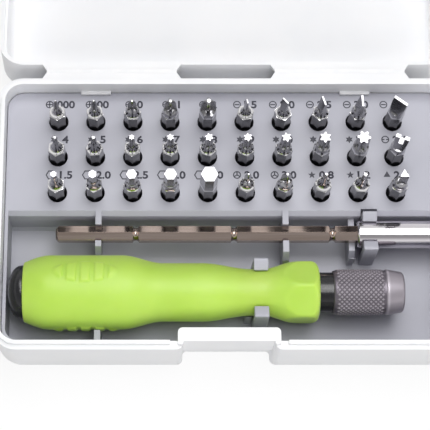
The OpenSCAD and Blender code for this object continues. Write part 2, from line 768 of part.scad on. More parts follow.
module driver_clip() {
  color("silver") spring_clip(grip_x + clip_s, driver_y, driver_z, driver_clip_r, driver_lip);
}

module rod_clip() {
  color("silver") spring_clip(rod_clip_x, rod_y, rod_z, socket_d / 2, rod_lip);
}

// Hexagonal bore along the driver's axis, corner up
module hex_bore(af, from, to) {
  translate([0, 0, from]) cylinder(r = af / 2 * hex_c, h = to - from, $fn = 6);
}

module handle_core() {
  color("#1c1c1e") on_driver() difference() {
    cylinder(r = core_r, h = core_end);
    hex_bore(socket_af, pin_in + core_web, core_end);
    translate([0, 0, core_end - sleeve_in]) cylinder(d = sleeve_shank_d, h = sleeve_in + 1);
    translate([0, 0, -1]) cylinder(d = pin_d, h = pin_in + 1);
  }
}

// The raised lobes of one thumb pad, on the belly's top
module thumb_pad() {
  lobe_pitch = (pad_len + lobe_groove) / lobes;
  intersection() {
    translate([0, 0, belly_at]) cylinder(r = belly_d / 2 + lobe_h, h = belly_len);
    translate([0, 0, pad_at]) rotate([0, 90, 0]) linear_extrude(belly_d) difference() {
      polygon([for (a = [0:10:350]) [pad_len / 2 * cos(a), pad_w / 2 * sin(a)]]);
      for (i = [1:lobes - 1])
        translate([i * lobe_pitch - pad_len / 2 - lobe_groove, -pad_w]) square([lobe_groove, 2 * pad_w]);
    }
    translate([(core_r + belly_d / 2) / 2, -pad_w, 0]) cube([belly_d, 2 * pad_w, grip_len]);
  }
}

module handle_grip() {
  pad_turn = -22;
  bore_r = core_r + grip_gap;
  color("#b9dd5c") on_driver() difference() {
    union() {
      rotate_extrude() polygon(concat([[bore_r, 0]], GRIP_PROFILE, [[bore_r, grip_len]]));
      for (k = [0:2]) rotate(180 + pad_turn + 120 * k) thumb_pad();
    }
    translate([0, 0, flange_at - swell_len / 2]) difference() {
      cylinder(d = 2 * flange_d, h = grip_len);
      hex_bore(flange_af, -1, grip_len + 1);
    }
  }
}

module end_cap() {
  rim = cap_len * 0.15;
  dome = [for (a = [0:11.25:90]) [cap_d / 2 * cos(a), -cap_gap - rim - (cap_len - rim) * sin(a)]];
  color("#1c1c1e") on_driver() difference() {
    rotate_extrude() polygon(concat([[0, -cap_gap], [cap_d / 2, -cap_gap]], dome));
    translate([0, 0, -cap_gap - cap_len / 2]) cylinder(r = pin_d / 2 + run_gap, h = cap_len);
    translate([0, 0, -cap_gap - head_at - head_t - run_gap])
      cylinder(r = head_r + run_gap, h = head_t + 2 * run_gap);
  }
}

module cap_pin() {
  color("lightgray") on_driver() {
    translate([0, 0, -cap_gap - head_at - head_t]) cylinder(r = head_r, h = head_t);
    translate([0, 0, -cap_gap - head_at - eps]) cylinder(d = pin_d, h = cap_gap + head_at + eps + pin_in);
  }
}

module chuck_sleeve() {
  nose = collar_at + collar_len - sleeve_back;
  color("lightgray") on_driver() difference() {
    union() {
      translate([0, 0, core_end - sleeve_in]) cylinder(d = sleeve_shank_d, h = sleeve_in + eps);
      translate([0, 0, core_end]) cylinder(r = sleeve_r, h = nose - core_end);
    }
    hex_bore(socket_af, core_end - sleeve_in - 1, nose + 1);
    translate([0, 0, nose - mouth])
      cylinder(r1 = socket_af / 2, r2 = socket_af / 2 + mouth + eps, h = mouth + eps);
    translate([0, 0, ball_at]) rotate([0, -90, 0]) cylinder(r = ball_d / 2 + run_gap, h = sleeve_d);
    translate([0, 0, ring_at]) difference() {
      cylinder(r = sleeve_d, h = ring_t + run_gap);
      translate([0, 0, -1]) cylinder(r = ring_in, h = ring_t + run_gap + 2);
    }
  }
}

// Diamond knurl: a log whose surface rises to a point at every second place of its grid
module knurl_log(length) {
  around = 2 * knurl_around;
  rows = 2 * knurl_rows;
  grid = [for (j = [0:rows], i = [0:around - 1])
    let (edge = j == 0 || j == rows, low = edge || (i + j) % 2 == 1)
    let (r = collar_d / 2 - (low ? knurl_deep : 0), a = 360 * i / around)
    [r * cos(a), r * sin(a), length * j / rows]];
  top = (rows + 1) * around;
  skin = [for (j = [0:rows - 1], i = [0:around - 1])
    let (a = j * around + i, b = j * around + (i + 1) % around)
    let (c = b + around, d = a + around)
    each ((i + j) % 2 == 0 ? [[a, d, b], [b, d, c]] : [[a, c, b], [a, d, c]])];
  ends = [for (i = [0:around - 1]) let (n = (i + 1) % around)
    each [[top, i, n], [top + 1, rows * around + n, rows * around + i]]];
  polyhedron(concat(grid, [[0, 0, 0], [0, 0, length]]), concat(skin, ends));
}

module chuck_collar() {
  knurl_len = collar_len - nose_len;
  step_r = collar_d / 2 - knurl_deep;
  color("#8f8894") on_driver(collar_at) difference() {
    union() {
      knurl_log(knurl_len);
      rotate_extrude() polygon([[0, knurl_len - 1], [step_r - 2 * eps, knurl_len - 1],
        [step_r - 2 * eps, knurl_len], [collar_d / 2, knurl_len + knurl_deep],
        [nose_d / 2, collar_len - nose_edge], [nose_d / 2 - nose_edge, collar_len], [0, collar_len]]);
    }
    translate([0, 0, -1]) cylinder(r = core_r + run_gap, h = shoulder_at - collar_at + 1);
    cylinder(r = land_r, h = far);
    translate([0, 0, ball_at - collar_at])
      cylinder(r1 = land_r, r2 = land_r + ball_play + run_gap, h = land_end - ball_at + eps);
    translate([0, 0, land_end - collar_at]) cylinder(r = ring_out + ring_gap, h = far);
  }
}

// Centre line of the return spring, and the rings of its wire
SPRING_RINGS = 8;
SPRING_SIDES = 6;
function spring_point(k) =
  let (n = spring_turns * SPRING_RINGS, a = 360 * k / SPRING_RINGS)
  let (z = core_end + spring_wire / 2 + eps + (spring_len - spring_wire - 2 * eps) * k / n)
  [spring_r * cos(a), spring_r * sin(a), z];
SPRING_POINTS = [for (k = [0:spring_turns * SPRING_RINGS]) spring_point(k)];
spring_self_gap = min([for (i = [0:len(SPRING_POINTS) - 1], j = [0:len(SPRING_POINTS) - 1])
  if (j > i + SPRING_RINGS / 2) norm(SPRING_POINTS[i] - SPRING_POINTS[j])]) - spring_wire;
echo(spring_self_gap = spring_self_gap);

module collar_spring() {
  last = len(SPRING_POINTS) - 1;
  rings = [for (k = [0:last], i = [0:SPRING_SIDES - 1])
    let (a = 360 * k / SPRING_RINGS, b = 360 * i / SPRING_SIDES, w = spring_wire / 2)
    SPRING_POINTS[k] + w * [cos(b) * cos(a), cos(b) * sin(a), sin(b)]];
  skin = [for (k = [0:last - 1], i = [0:SPRING_SIDES - 1])
    let (a = k * SPRING_SIDES + i, b = k * SPRING_SIDES + (i + 1) % SPRING_SIDES)
    each [[a, b, a + SPRING_SIDES], [b, b + SPRING_SIDES, a + SPRING_SIDES]]];
  ends = [for (i = [1:SPRING_SIDES - 2])
    each [[0, i + 1, i], [last * SPRING_SIDES, last * SPRING_SIDES + i, last * SPRING_SIDES + i + 1]]];
  color("gray") on_driver() polyhedron(rings, concat(skin, ends));
}

module lock_ball() {
  color("lightgray") on_driver(ball_at) translate([-ball_out, 0, 0]) sphere(d = ball_d);
}

module stop_ring() {
  color("gray") on_driver(ring_at) translate([0, 0, run_gap / 2]) rotate_extrude(angle = 320)
    translate([ring_in, 0]) square([ring_out - ring_in, ring_t]);
}

// A hexagonal bar along X, corner up, with bevelled ends
module hex_bar(length, bevel_far) {
  rotate([0, 90, 0]) intersection() {
    cylinder(r = bit_r, h = length, $fn = 6);
    rotate_extrude() polygon([[0, 0], [bit_r - rod_bevel, 0], [bit_r, rod_bevel],
      [bit_r, length - bevel_far], [bit_r - bevel_far, length], [0, length]]);
  }
}

module extension_rod() {
  color("#96877f") translate([rod_x, rod_y, rod_z]) difference() {
    hex_bar(rod_len + rod_in, rod_bevel / 2);
    for (k = [0:2])
      translate([neck_first + k * neck_pitch, 0, 0]) rotate([0, 90, 0])
        rotate_extrude() translate([neck_d / 2 + neck_r, 0]) circle(neck_r);
  }
}

module rod_socket() {
  r = socket_d / 2;
  bevel = rod_bevel / 2;
  seat = socket_len - seat_deep;
  color("#c8c8cc") translate([socket_x, rod_y, rod_z]) rotate([0, 90, 0]) difference() {
    rotate_extrude() polygon([[0, 0], [r - bevel, 0], [r, bevel], [r, socket_len - bevel],
      [r - bevel, socket_len], [0, socket_len]]);
    hex_bore(bit_af, -1, rod_in);
    hex_bore(socket_af, seat, socket_len + 1);
    translate([0, 0, seat - magnet_t]) cylinder(d = magnet_d, h = magnet_t + 1);
  }
}

module socket_magnet() {
  color("#55555a") translate([socket_x + socket_len - seat_deep - magnet_t, rod_y, rod_z])
    rotate([0, 90, 0]) cylinder(d = magnet_d, h = magnet_t);
}

// Six or five round lobes, with round hollows between them
module star_plan(points, d) {
  hollow_at = d * 0.56;
  hollow_d = d * (points == 6 ? 0.4 : 0.46);
  difference() {
    circle(d = d);
    for (k = [0:points - 1])
      rotate(360 * (k + 0.5) / points) translate([hollow_at, 0]) circle(d = hollow_d);
  }
}

// Three blades
module wing_plan(d, t) {
  for (k = [0:2]) rotate(120 * k) translate([0, -t / 2]) square([d / 2, t]);
}

// A straight tip of the given plan, with its end bevelled
module straight_tip(r, bevel) {
  intersection() {
    translate([0, 0, bit_len - tip_len]) linear_extrude(tip_len) children();
    rotate_extrude() polygon([[0, bit_len - tip_len - 1], [r, bit_len - tip_len - 1], [r, bit_len - bevel],
      [r - bevel, bit_len], [0, bit_len]]);
  }
}

// Round neck from the shoulder up, drawn in to the tip's radius
module neck(d, tip_r, top) {
  rotate_extrude() polygon([[0, shank_len - 1], [d / 2, shank_len - 1], [d / 2, top - tip_len / 2],
    [tip_r, top], [0, top]]);
}

// A point with four flutes
module cross_tip(w, web, neck_d) {
  point = w * 0.75;
  blunt = w * 0.14;
  flute_tilt = 5;
  difference() {
    rotate_extrude() polygon([[0, shank_len - 1], [neck_d / 2, shank_len - 1],
      [neck_d / 2, bit_len - point - tip_len / 2], [w / 2, bit_len - point], [blunt, bit_len],
      [0, bit_len]]);
    for (k = [0:3])
      rotate(90 * k + 45) translate([web, 0, bit_len + 1]) rotate([0, -flute_tilt, 0])
        translate([0, 0, -tip_len - 1]) rotate(-45) cube([w, w, 2 * tip_len]);
  }
}

// A flat blade, drawn down from the neck
module blade_tip(w, t, neck_d) {
  foot = bit_len - tip_len * 1.5;
  neck(neck_d, neck_d / 2, foot + eps);
  intersection() {
    rotate([90, 0, 0]) linear_extrude(w, center = true)
      polygon([[-neck_d / 2, foot], [neck_d / 2, foot], [t / 2, bit_len - 1], [t / 2, bit_len],
        [-t / 2, bit_len], [-t / 2, bit_len - 1]]);
    translate([0, 0, foot]) cylinder(d = max(neck_d, w), h = tip_len * 2);
  }
}

module bit_tip(shape, w, second, neck_d) {
  foot = bit_len - tip_len;
  if (shape == "cross") cross_tip(w, second, neck_d);
  if (shape == "slot") blade_tip(w, second, neck_d);
  if (shape == "star") {
    neck(neck_d, w / 2, foot + eps);
    straight_tip(w / 2, w * 0.1) star_plan(second, w);
  }
  if (shape == "hex") {
    neck(neck_d, min(neck_d, w) / 2, foot + eps);
    straight_tip(w / 2 * hex_c, second) circle(r = w / 2 * hex_c, $fn = 6);
  }
  if (shape == "wing") {
    neck(neck_d, w / 2, foot + eps);
    straight_tip(w / 2, w * 0.25) wing_plan(w, second);
  }
  if (shape == "triangle") {
    neck(neck_d, w / 2, foot + eps);
    straight_tip(w / 2, second) circle(d = w, $fn = 3);
  }
  if (shape == "fork") difference() {
    slot_w = w / 3;
    slot_deep = tip_len * 0.7;
    blade_tip(w, second, neck_d);
    translate([-w, -slot_w / 2, bit_len - slot_deep]) cube([2 * w, slot_w, tip_len]);
  }
}

// A bit with its hexagonal shank, the cone of its shoulder and its tip, standing on the origin
module bit(shape, w, second, neck_d) {
  shoulder = max(0.1, (bit_r - neck_d / 2) * 1.1);
  intersection() {
    cylinder(r = bit_r, h = shank_len + shoulder, $fn = 6);
    rotate_extrude() polygon([[0, 0], [bit_r - bit_bevel, 0], [bit_r, bit_bevel], [bit_r, shank_len],
      [neck_d / 2, shank_len + shoulder], [0, shank_len + shoulder]]);
  }
  bit_tip(shape, w, second, neck_d);
}

module placed_bit(i) {
  b = BITS[i];
  column = i % COLUMNS;
  row = floor(i / COLUMNS);
  color("#8a8a90")
    translate([(column - (COLUMNS - 1) / 2) * pitch, rear_row_y - row * pitch, trough_z + bit_seat])
      rotate(b[5]) bit(b[1], b[2], b[3], b[4]);
}

case_base();
case_lid();
hinge_films();
bit_tray();
tool_tray();
tray_walls();
tray_ribs();
driver_clip();
rod_clip();
handle_core();
handle_grip();
end_cap();
cap_pin();
chuck_sleeve();
chuck_collar();
collar_spring();
lock_ball();
stop_ring();
extension_rod();
rod_socket();
socket_magnet();
for (i = [0:len(BITS) - 1])
  placed_bit(i);
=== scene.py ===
"""Finished pieces, materials, light and camera of a precision screwdriver set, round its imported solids."""
import math
from contextlib import contextmanager

import bpy
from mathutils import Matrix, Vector


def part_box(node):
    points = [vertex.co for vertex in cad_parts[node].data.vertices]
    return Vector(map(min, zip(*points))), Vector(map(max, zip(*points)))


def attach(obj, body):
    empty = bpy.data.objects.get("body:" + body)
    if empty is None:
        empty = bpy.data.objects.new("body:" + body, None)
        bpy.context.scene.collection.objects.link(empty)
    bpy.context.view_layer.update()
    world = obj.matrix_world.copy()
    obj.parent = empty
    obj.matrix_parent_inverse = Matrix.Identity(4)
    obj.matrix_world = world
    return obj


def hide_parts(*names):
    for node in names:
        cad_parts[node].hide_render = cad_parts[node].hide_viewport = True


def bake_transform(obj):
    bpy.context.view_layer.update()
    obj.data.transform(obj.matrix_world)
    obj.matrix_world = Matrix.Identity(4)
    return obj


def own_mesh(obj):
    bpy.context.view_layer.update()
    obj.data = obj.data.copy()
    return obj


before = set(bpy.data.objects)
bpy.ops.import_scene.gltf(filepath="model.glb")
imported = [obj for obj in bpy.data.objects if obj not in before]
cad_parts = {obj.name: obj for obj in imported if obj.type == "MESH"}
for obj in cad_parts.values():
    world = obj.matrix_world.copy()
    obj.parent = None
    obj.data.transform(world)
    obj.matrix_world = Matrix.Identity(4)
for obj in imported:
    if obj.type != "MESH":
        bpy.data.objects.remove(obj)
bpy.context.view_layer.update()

bl_info = {
    "name": "Precision screwdriver set",
    "version": (1, 0, 0),
    "blender": (4, 5, 0),
    "location": "View3D > Sidebar > Screwdriver set",
    "description": "Models the finished pieces of a screwdriver set on its solids and lights them",
    "category": "Add Mesh",
}

MM = 0.001
MERGE_DISTANCE = 0.001 * MM
BIT_NODES = [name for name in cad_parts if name.startswith("bit_") and name != "bit_tray"]
GRIP_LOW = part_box("handle_grip")[0]
COLLAR_LOW, COLLAR_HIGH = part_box("chuck_collar")
CAP_LOW, CAP_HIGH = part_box("end_cap")
DRIVER_AXIS = Vector((0, (CAP_LOW.y + CAP_HIGH.y) / 2, (CAP_LOW.z + CAP_HIGH.z) / 2))
PLATE_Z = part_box("bit_tray")[1].z
FOLD_LOW, FOLD_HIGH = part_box("hinge_films")


def linear(hex_colour):
    """The linear colour, with alpha, of an sRGB hex value."""
    parts = [int(hex_colour[i:i + 2], 16) / 255 for i in (1, 3, 5)]
    return (*[c / 12.92 if c <= 0.04045 else ((c + 0.055) / 1.055) ** 2.4 for c in parts], 1)


def length(name, description, size):
    """A property for a length, given in millimetres."""
    return bpy.props.FloatProperty(
        name=name, description=description, default=size * MM, min=0, unit="LENGTH", precision=5)


def colour(name, description, hex_colour):
    """A property for a colour, given as an sRGB hex value."""
    return bpy.props.FloatVectorProperty(
        name=name, description=description, default=linear(hex_colour), size=4, min=0, max=1, subtype="COLOR")


class ScrewdriverSetSizes(bpy.types.PropertyGroup):
    """Sizes of what the finished pieces have beyond their solids."""
    moulding_edge: length("Moulding edge", "Radius on the edges of the case", 0.25)
    tray_edge: length("Tray edge", "Radius on the edges of the tray", 0.25)
    clip_edge: length("Clip edge", "Radius on the edges of the spring clips", 0.4)
    steel_edge: length("Steel edge", "Worn radius on the rod, the socket and the chuck", 0.12)
    bit_edge: length("Bit edge", "Worn radius on the bits", 0.07)
    core_edge: length("Core edge", "Radius on the edges of the handle's core", 0.15)
    cap_edge: length("Cap edge", "Radius on the edges of the swivel cap", 0.3)
    pin_edge: length("Pin edge", "Radius on the edges of the cap's pin", 0.1)
    ball_edge: length("Ball edge", "Radius on the facets of the locking ball", 0.02)
    film: length("Hinge film", "Thickness of the living hinge at its fold", 0.26)
    pad_height: length("Pad height", "Height of the lobes of a thumb pad", 0.42)
    pad_round: length("Pad rounding", "Width over which a lobe rises", 0.65)
    knurl_height: length("Knurl height", "Height of the collar's diamonds", 0.3)
    mark_height: length("Mark height", "Height of the numbers on the plate", 2.15)
    icon_width: length("Icon width", "Width of the signs on the plate", 2.15)
    mark_back: length("Mark distance", "From a pocket's middle to its mark", 5.0)
    mark_aside: length("Mark offset", "From a pocket's middle to its mark's middle, to the right", 0.3)
    mark_gap: length("Mark gap", "Between a sign and its number, at the least", 0.9)
    mark_width: length("Mark width", "Of a sign with its number, at the least", 4.8)
    ink_thickness: length("Ink thickness", "Thickness of the printed marks", 0.03)


class ScrewdriverSetColours(bpy.types.PropertyGroup):
    """Colours of the materials, most with a paler or darker one that they drift to; the bits' shoulder colour
    is a painted highlight and the collar's groove colour is painted shade.
    """
    case: colour("Case", "Frosted polypropylene", "#FCFCFE")
    case_deep: colour("Case, thicker", "Frosted polypropylene where it is thicker", "#F6F7FA")
    tray: colour("Tray", "Grey polystyrene", "#B4B4BE")
    tray_deep: colour("Tray, darker", "Grey polystyrene in the darker flow of the moulding", "#AAAAB5")
    grip: colour("Grip", "Lime elastomer", "#C2E465")
    grip_deep: colour("Grip, darker", "Lime elastomer where hands have been", "#BADE58")
    black: colour("Black plastic", "Gloss black core and cap", "#151517")
    black_worn: colour("Black plastic, worn", "Gloss black where it is rubbed", "#222225")
    collar: colour("Collar tips", "Anodised aluminium on the points of the knurl", "#BFB8C0")
    # The collar's groove colour below is painted shade between the knurl's points.
    collar_groove_shade: colour("Collar grooves", "Anodised aluminium between the points", "#676169")
    bit: colour("Bits", "Blasted chrome vanadium steel of the shanks", "#68676A")
    bit_dark: colour("Bits, darker", "Blasted chrome vanadium steel in its darker grain", "#525154")
    # The bits' shoulder colour below is a painted highlight on the foot of each shoulder.
    bit_rim_highlight: colour("Bit shoulders", "Chrome vanadium steel where the shoulder was turned", "#E0DFE0")
    bit_tip: colour("Bit tips", "Chrome vanadium steel of the tips", "#98979A")
    rod: colour("Rod", "Warm nickel plate", "#B5A59D")
    rod_dark: colour("Rod, darker", "Warm nickel plate along its drawing lines", "#A49389")
    chrome: colour("Socket", "Polished chrome plate", "#D3CFD3")
    steel: colour("Bright steel", "Turned steel of the chuck's inside", "#BEBEC0")
    magnet: colour("Magnet", "Nickel plate of the magnet", "#A8A7A3")
    ink: colour("Ink", "Print on the plate", "#3C3C46")
    ink_thin: colour("Ink, thinner", "Print where less ink was laid", "#4A4A54")
    floor: colour("Floor", "Studio floor and background", "#FFFFFF")
    floor_bounce: colour("Floor bounce", "Studio floor as it throws light back on the set", "#BCBCBC")


def sizes():
    return bpy.context.scene.screwdriver_set_sizes


def colours():
    return bpy.context.scene.screwdriver_set_colours


# Modelling

# Angles, in degrees, under which faces are one flat face or are shaded as one, and over which edges are round
FLAT_ANGLE, SMOOTH_ANGLE, KNURL_ANGLE, EDGE_ANGLE = 0.6, 35, 30, 40


def select_only(piece):
    """Selects one piece and makes it the active one."""
    bpy.ops.object.select_all(action="DESELECT")
    piece.select_set(True)
    bpy.context.view_layer.objects.active = piece


@contextmanager
def editing(piece):
    """Edit mode on one piece, with all of it selected."""
    select_only(piece)
    bpy.ops.object.mode_set(mode="EDIT")
    bpy.ops.mesh.select_all(action="SELECT")
    yield
    bpy.ops.object.mode_set(mode="OBJECT")


def modify(piece, kind, **settings):
    """Adds a modifier and applies it."""
    select_only(piece)
    modifier = piece.modifiers.new(kind, kind)
    for key, value in settings.items():
        setattr(modifier, key, value)
    bpy.ops.object.modifier_apply(modifier=modifier.name)


def named(name):
    """Names the object that was just added."""
    piece = bpy.context.object
    piece.name = name
    piece.data.name = name
    return piece


def settle(piece):
    """Puts a piece's place, turn and scale into its mesh."""
    select_only(piece)
    bpy.ops.object.transform_apply(location=True, rotation=True, scale=True)


def joined(name, pieces):
    """Several pieces as one."""
    bpy.ops.object.select_all(action="DESELECT")
    for piece in pieces:
        piece.select_set(True)
    bpy.context.view_layer.objects.active = pieces[0]
    if len(pieces) > 1:
        bpy.ops.object.join()
    return named(name)


def duplicate(piece, name):
    """A copy with a mesh of its own."""
    twin = bpy.data.objects.new(name, piece.data.copy())
    bpy.context.scene.collection.objects.link(twin)
    return twin


def from_solids(name, *nodes):
    """A merged copy of one solid, or of several that are one moulding, with flat faces made whole."""
    parts = []
    for node in nodes:
        part = duplicate(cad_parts[node], name)
        part.data.materials.clear()
        select_only(part)
        bpy.ops.mesh.customdata_custom_splitnormals_clear()
        with editing(part):
            bpy.ops.mesh.remove_doubles(threshold=MERGE_DISTANCE)
        parts.append(part)
    piece = parts[0]
    for part in parts[1:]:
        cut(piece, part, "UNION")
    with editing(piece):
        bpy.ops.mesh.remove_doubles(threshold=MERGE_DISTANCE)
        bpy.ops.mesh.dissolve_limited(angle_limit=math.radians(FLAT_ANGLE))
    select_only(piece)
    return named(name)


def smooth(piece, degrees=SMOOTH_ANGLE):
    """Smooth shading up to an angle, with flat faces kept flat."""
    select_only(piece)
    bpy.ops.object.shade_smooth_by_angle(angle=math.radians(degrees))
    modify(piece, "WEIGHTED_NORMAL", keep_sharp=True)


def soften(piece, radius, segments=2):
    """Rounds the sharp edges of a piece."""
    modify(piece, "BEVEL", width=radius, segments=segments, limit_method="ANGLE",
           angle_limit=math.radians(EDGE_ANGLE), use_clamp_overlap=True)
    smooth(piece)


def lathe(name, profile, steps, axis=Vector((1, 0, 0)), out=Vector((0, 0, 1)), centre=DRIVER_AXIS):
    """A profile of points (distance along, radius), in metres, spun round an axis."""
    bpy.ops.object.select_all(action="DESELECT")
    bpy.ops.mesh.primitive_plane_add(size=MM)
    piece = named(name)
    points = [axis * along + out * radius for along, radius in profile]
    with editing(piece):
        bpy.ops.mesh.merge(type="CENTER")
        bpy.ops.transform.translate(value=centre + points[0])
        for here, there in zip(points, points[1:]):
            bpy.ops.mesh.extrude_vertices_move(TRANSFORM_OT_translate={"value": there - here})
        bpy.ops.mesh.select_all(action="SELECT")
        bpy.ops.mesh.spin(steps=steps, angle=math.tau, center=centre, axis=axis)
        bpy.ops.mesh.select_all(action="SELECT")
        bpy.ops.mesh.remove_doubles(threshold=MERGE_DISTANCE)
        bpy.ops.mesh.normals_make_consistent(inside=False)
    return piece


def prism(name, plan, foot, top, taper=(1, 1)):
    """A solid over an outline of points round the origin, in millimetres, drawn in towards its top."""
    bpy.ops.object.select_all(action="DESELECT")
    bpy.ops.mesh.primitive_circle_add(vertices=len(plan), radius=MM, fill_type="NGON")
    piece = named(name)
    for vertex, (x, y) in zip(piece.data.vertices, plan):
        vertex.co = Vector((x, y, foot)) * MM
    with editing(piece):
        bpy.ops.mesh.extrude_region_move(TRANSFORM_OT_translate={"value": (0, 0, (top - foot) * MM)})
        bpy.ops.transform.resize(value=(*taper, 1), center_override=(0, 0, 0))
        bpy.ops.mesh.select_all(action="SELECT")
        bpy.ops.mesh.normals_make_consistent(inside=False)
    return piece


def cut(piece, tool, operation):
    """Joins a tool to a piece, takes it away or keeps what both hold."""
    modify(piece, "BOOLEAN", object=tool, operation=operation, solver="EXACT")
    bpy.data.objects.remove(tool)


def raise_by(piece, height, share):
    """Moves a surface along its normals by a height, times the share that a rule gives each point."""
    group = piece.vertex_groups.new(name="raised")
    for vertex in piece.data.vertices:
        group.add([vertex.index], min(1, max(0, share(vertex.co))), "REPLACE")
    modify(piece, "DISPLACE", strength=height, mid_level=0, direction="NORMAL", vertex_group=group.name)
    piece.vertex_groups.clear()


def round_axis(point):
    """Distance from the driver's axis, and the angle from straight up towards the hinge."""
    y, z = point.y - DRIVER_AXIS.y, point.z - DRIVER_AXIS.z
    return math.hypot(y, z), math.atan2(y, z)


def give(piece, material, body, slot, *nodes):
    """Finishes a piece: its material, its body and the solids that it stands for; the slot is not used."""
    piece.data.materials.clear()
    piece.data.materials.append(finish(material))
    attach(piece, body)
    if nodes:
        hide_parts(*nodes)


def dress(node, name, material, body, slot, edge):
    """A piece that has its solid's shape, with rounded edges."""
    piece = from_solids(name, node)
    soften(piece, edge)
    give(piece, material, body, slot, node)


# Materials

# The sockets of a colour mix: its share, its two colours and what comes out
SHARE, FIRST, SECOND, MIXED = 0, 6, 7, 2
# The middle stretch of a noise that the patches and the grain are drawn from, and the strength of the grain
PATCH_NOISE = {"From Min": 0.3, "From Max": 0.7}
GRAIN_NOISE = {"From Min": 0.25, "From Max": 0.75}
GRAIN_STRENGTH = 0.6


def add_node(tree, kind, inputs=None, **settings):
    """Adds a node with its settings, and links or sets its inputs."""
    node = tree.nodes.new(kind)
    for key, value in settings.items():
        setattr(node, key, value)
    for key, value in (inputs or {}).items():
        if isinstance(value, bpy.types.NodeSocket):
            tree.links.new(value, node.inputs[key])
        else:
            node.inputs[key].default_value = value
    return node


def start(name, **sockets):
    """A new material with its shader, and Object coordinates to draw patterns on."""
    material = bpy.data.materials.new(name)
    material.use_nodes = True
    tree = material.node_tree
    tree.nodes.clear()
    place = add_node(tree, "ShaderNodeTexCoord").outputs["Object"]
    shader = add_node(tree, "ShaderNodeBsdfPrincipled", {k.replace("_", " "): v for k, v in sockets.items()})
    add_node(tree, "ShaderNodeOutputMaterial", {"Surface": shader.outputs["BSDF"]})
    return tree, shader, place


def vary(tree, shader, place, first, second, patch, roughness, grain, depth):
    """Drift between two colours in patches, and a grain in roughness and height. Sizes are in millimetres."""
    drift = add_node(tree, "ShaderNodeTexNoise", {"Vector": place, "Scale": 1 / (patch * MM), "Detail": 2.0})
    spread = add_node(tree, "ShaderNodeMapRange", {"Value": drift.outputs["Fac"], **PATCH_NOISE})
    mix = add_node(tree, "ShaderNodeMix", {SHARE: spread.outputs["Result"], FIRST: first, SECOND: second},
                   data_type="RGBA")
    fine = add_node(tree, "ShaderNodeTexNoise", {"Vector": place, "Scale": 1 / (grain * MM), "Detail": 3.0})
    rough = add_node(tree, "ShaderNodeMapRange", {
        "Value": fine.outputs["Fac"], "To Min": roughness[0], "To Max": roughness[1], **GRAIN_NOISE})
    bump = add_node(tree, "ShaderNodeBump", {
        "Height": fine.outputs["Fac"], "Distance": depth * MM, "Strength": GRAIN_STRENGTH})
    tree.links.new(mix.outputs[MIXED], shader.inputs["Base Color"])
    tree.links.new(rough.outputs["Result"], shader.inputs["Roughness"])
    tree.links.new(bump.outputs["Normal"], shader.inputs["Normal"])
    return mix


POLYPROPYLENE = {"IOR": 1.49, "Subsurface_Weight": 0.2, "Subsurface_Radius": (1.0, 1.05, 1.15),
                 "Subsurface_Scale": 3.0 * MM}


def frosted_polypropylene():
    # Injection-moulded polypropylene in a fine spark-eroded mould: milky, with a soft broad sheen.
    # The 0.35 mm grain is coarser than the real one, so that it shows.
    made = start("frosted_polypropylene", **POLYPROPYLENE)
    vary(*made, colours().case, colours().case_deep, 18, (0.36, 0.5), 0.35, 0.012)


def flexed_polypropylene():
    # The same plastic rolled thin by folding, which whitens it and makes it smoother.
    made = start("flexed_polypropylene", **POLYPROPYLENE)
    vary(*made, colours().case_deep, colours().case, 2.5, (0.25, 0.4), 0.5, 0.01)


def grey_polystyrene():
    # Injection-moulded high-impact polystyrene: even grey, satin, with slow flow marks and a 0.4 mm texture.
    made = start("grey_polystyrene", IOR=1.59)
    vary(*made, colours().tray, colours().tray_deep, 26, (0.42, 0.56), 0.4, 0.014)


def lime_elastomer():
    # Soft thermoplastic elastomer moulded over the core: dull skin with a silky sheen at grazing angles.
    made = start("lime_elastomer", IOR=1.5, Sheen_Weight=0.12, Sheen_Roughness=0.4,
                 Subsurface_Weight=0.6, Subsurface_Radius=(1.0, 1.0, 0.5), Subsurface_Scale=2.5 * MM)
    vary(*made, colours().grip, colours().grip_deep, 11, (0.4, 0.52), 0.3, 0.01)


def black_abs():
    # Moulded ABS from a polished mould: deep black with a clear gloss and light rubbing.
    made = start("black_abs", IOR=1.47)
    vary(*made, colours().black, colours().black_worn, 4, (0.14, 0.28), 0.6, 0.004)


# Depths under the knurl's points, in millimetres, at which the grooves' painted shade is full and at which
# the points' worn pale colour is full, the length of the plain nose, the distance over which its colour comes
# in, and how far the nose's colour goes from the painted groove shade towards the points' colour
GROOVE_SHADE_DEPTH, WEAR_FULL, NOSE_LENGTH, NOSE_FADE, NOSE_TIP_SHARE = 0.3, 0.03, 4.8, 0.1, 0.55


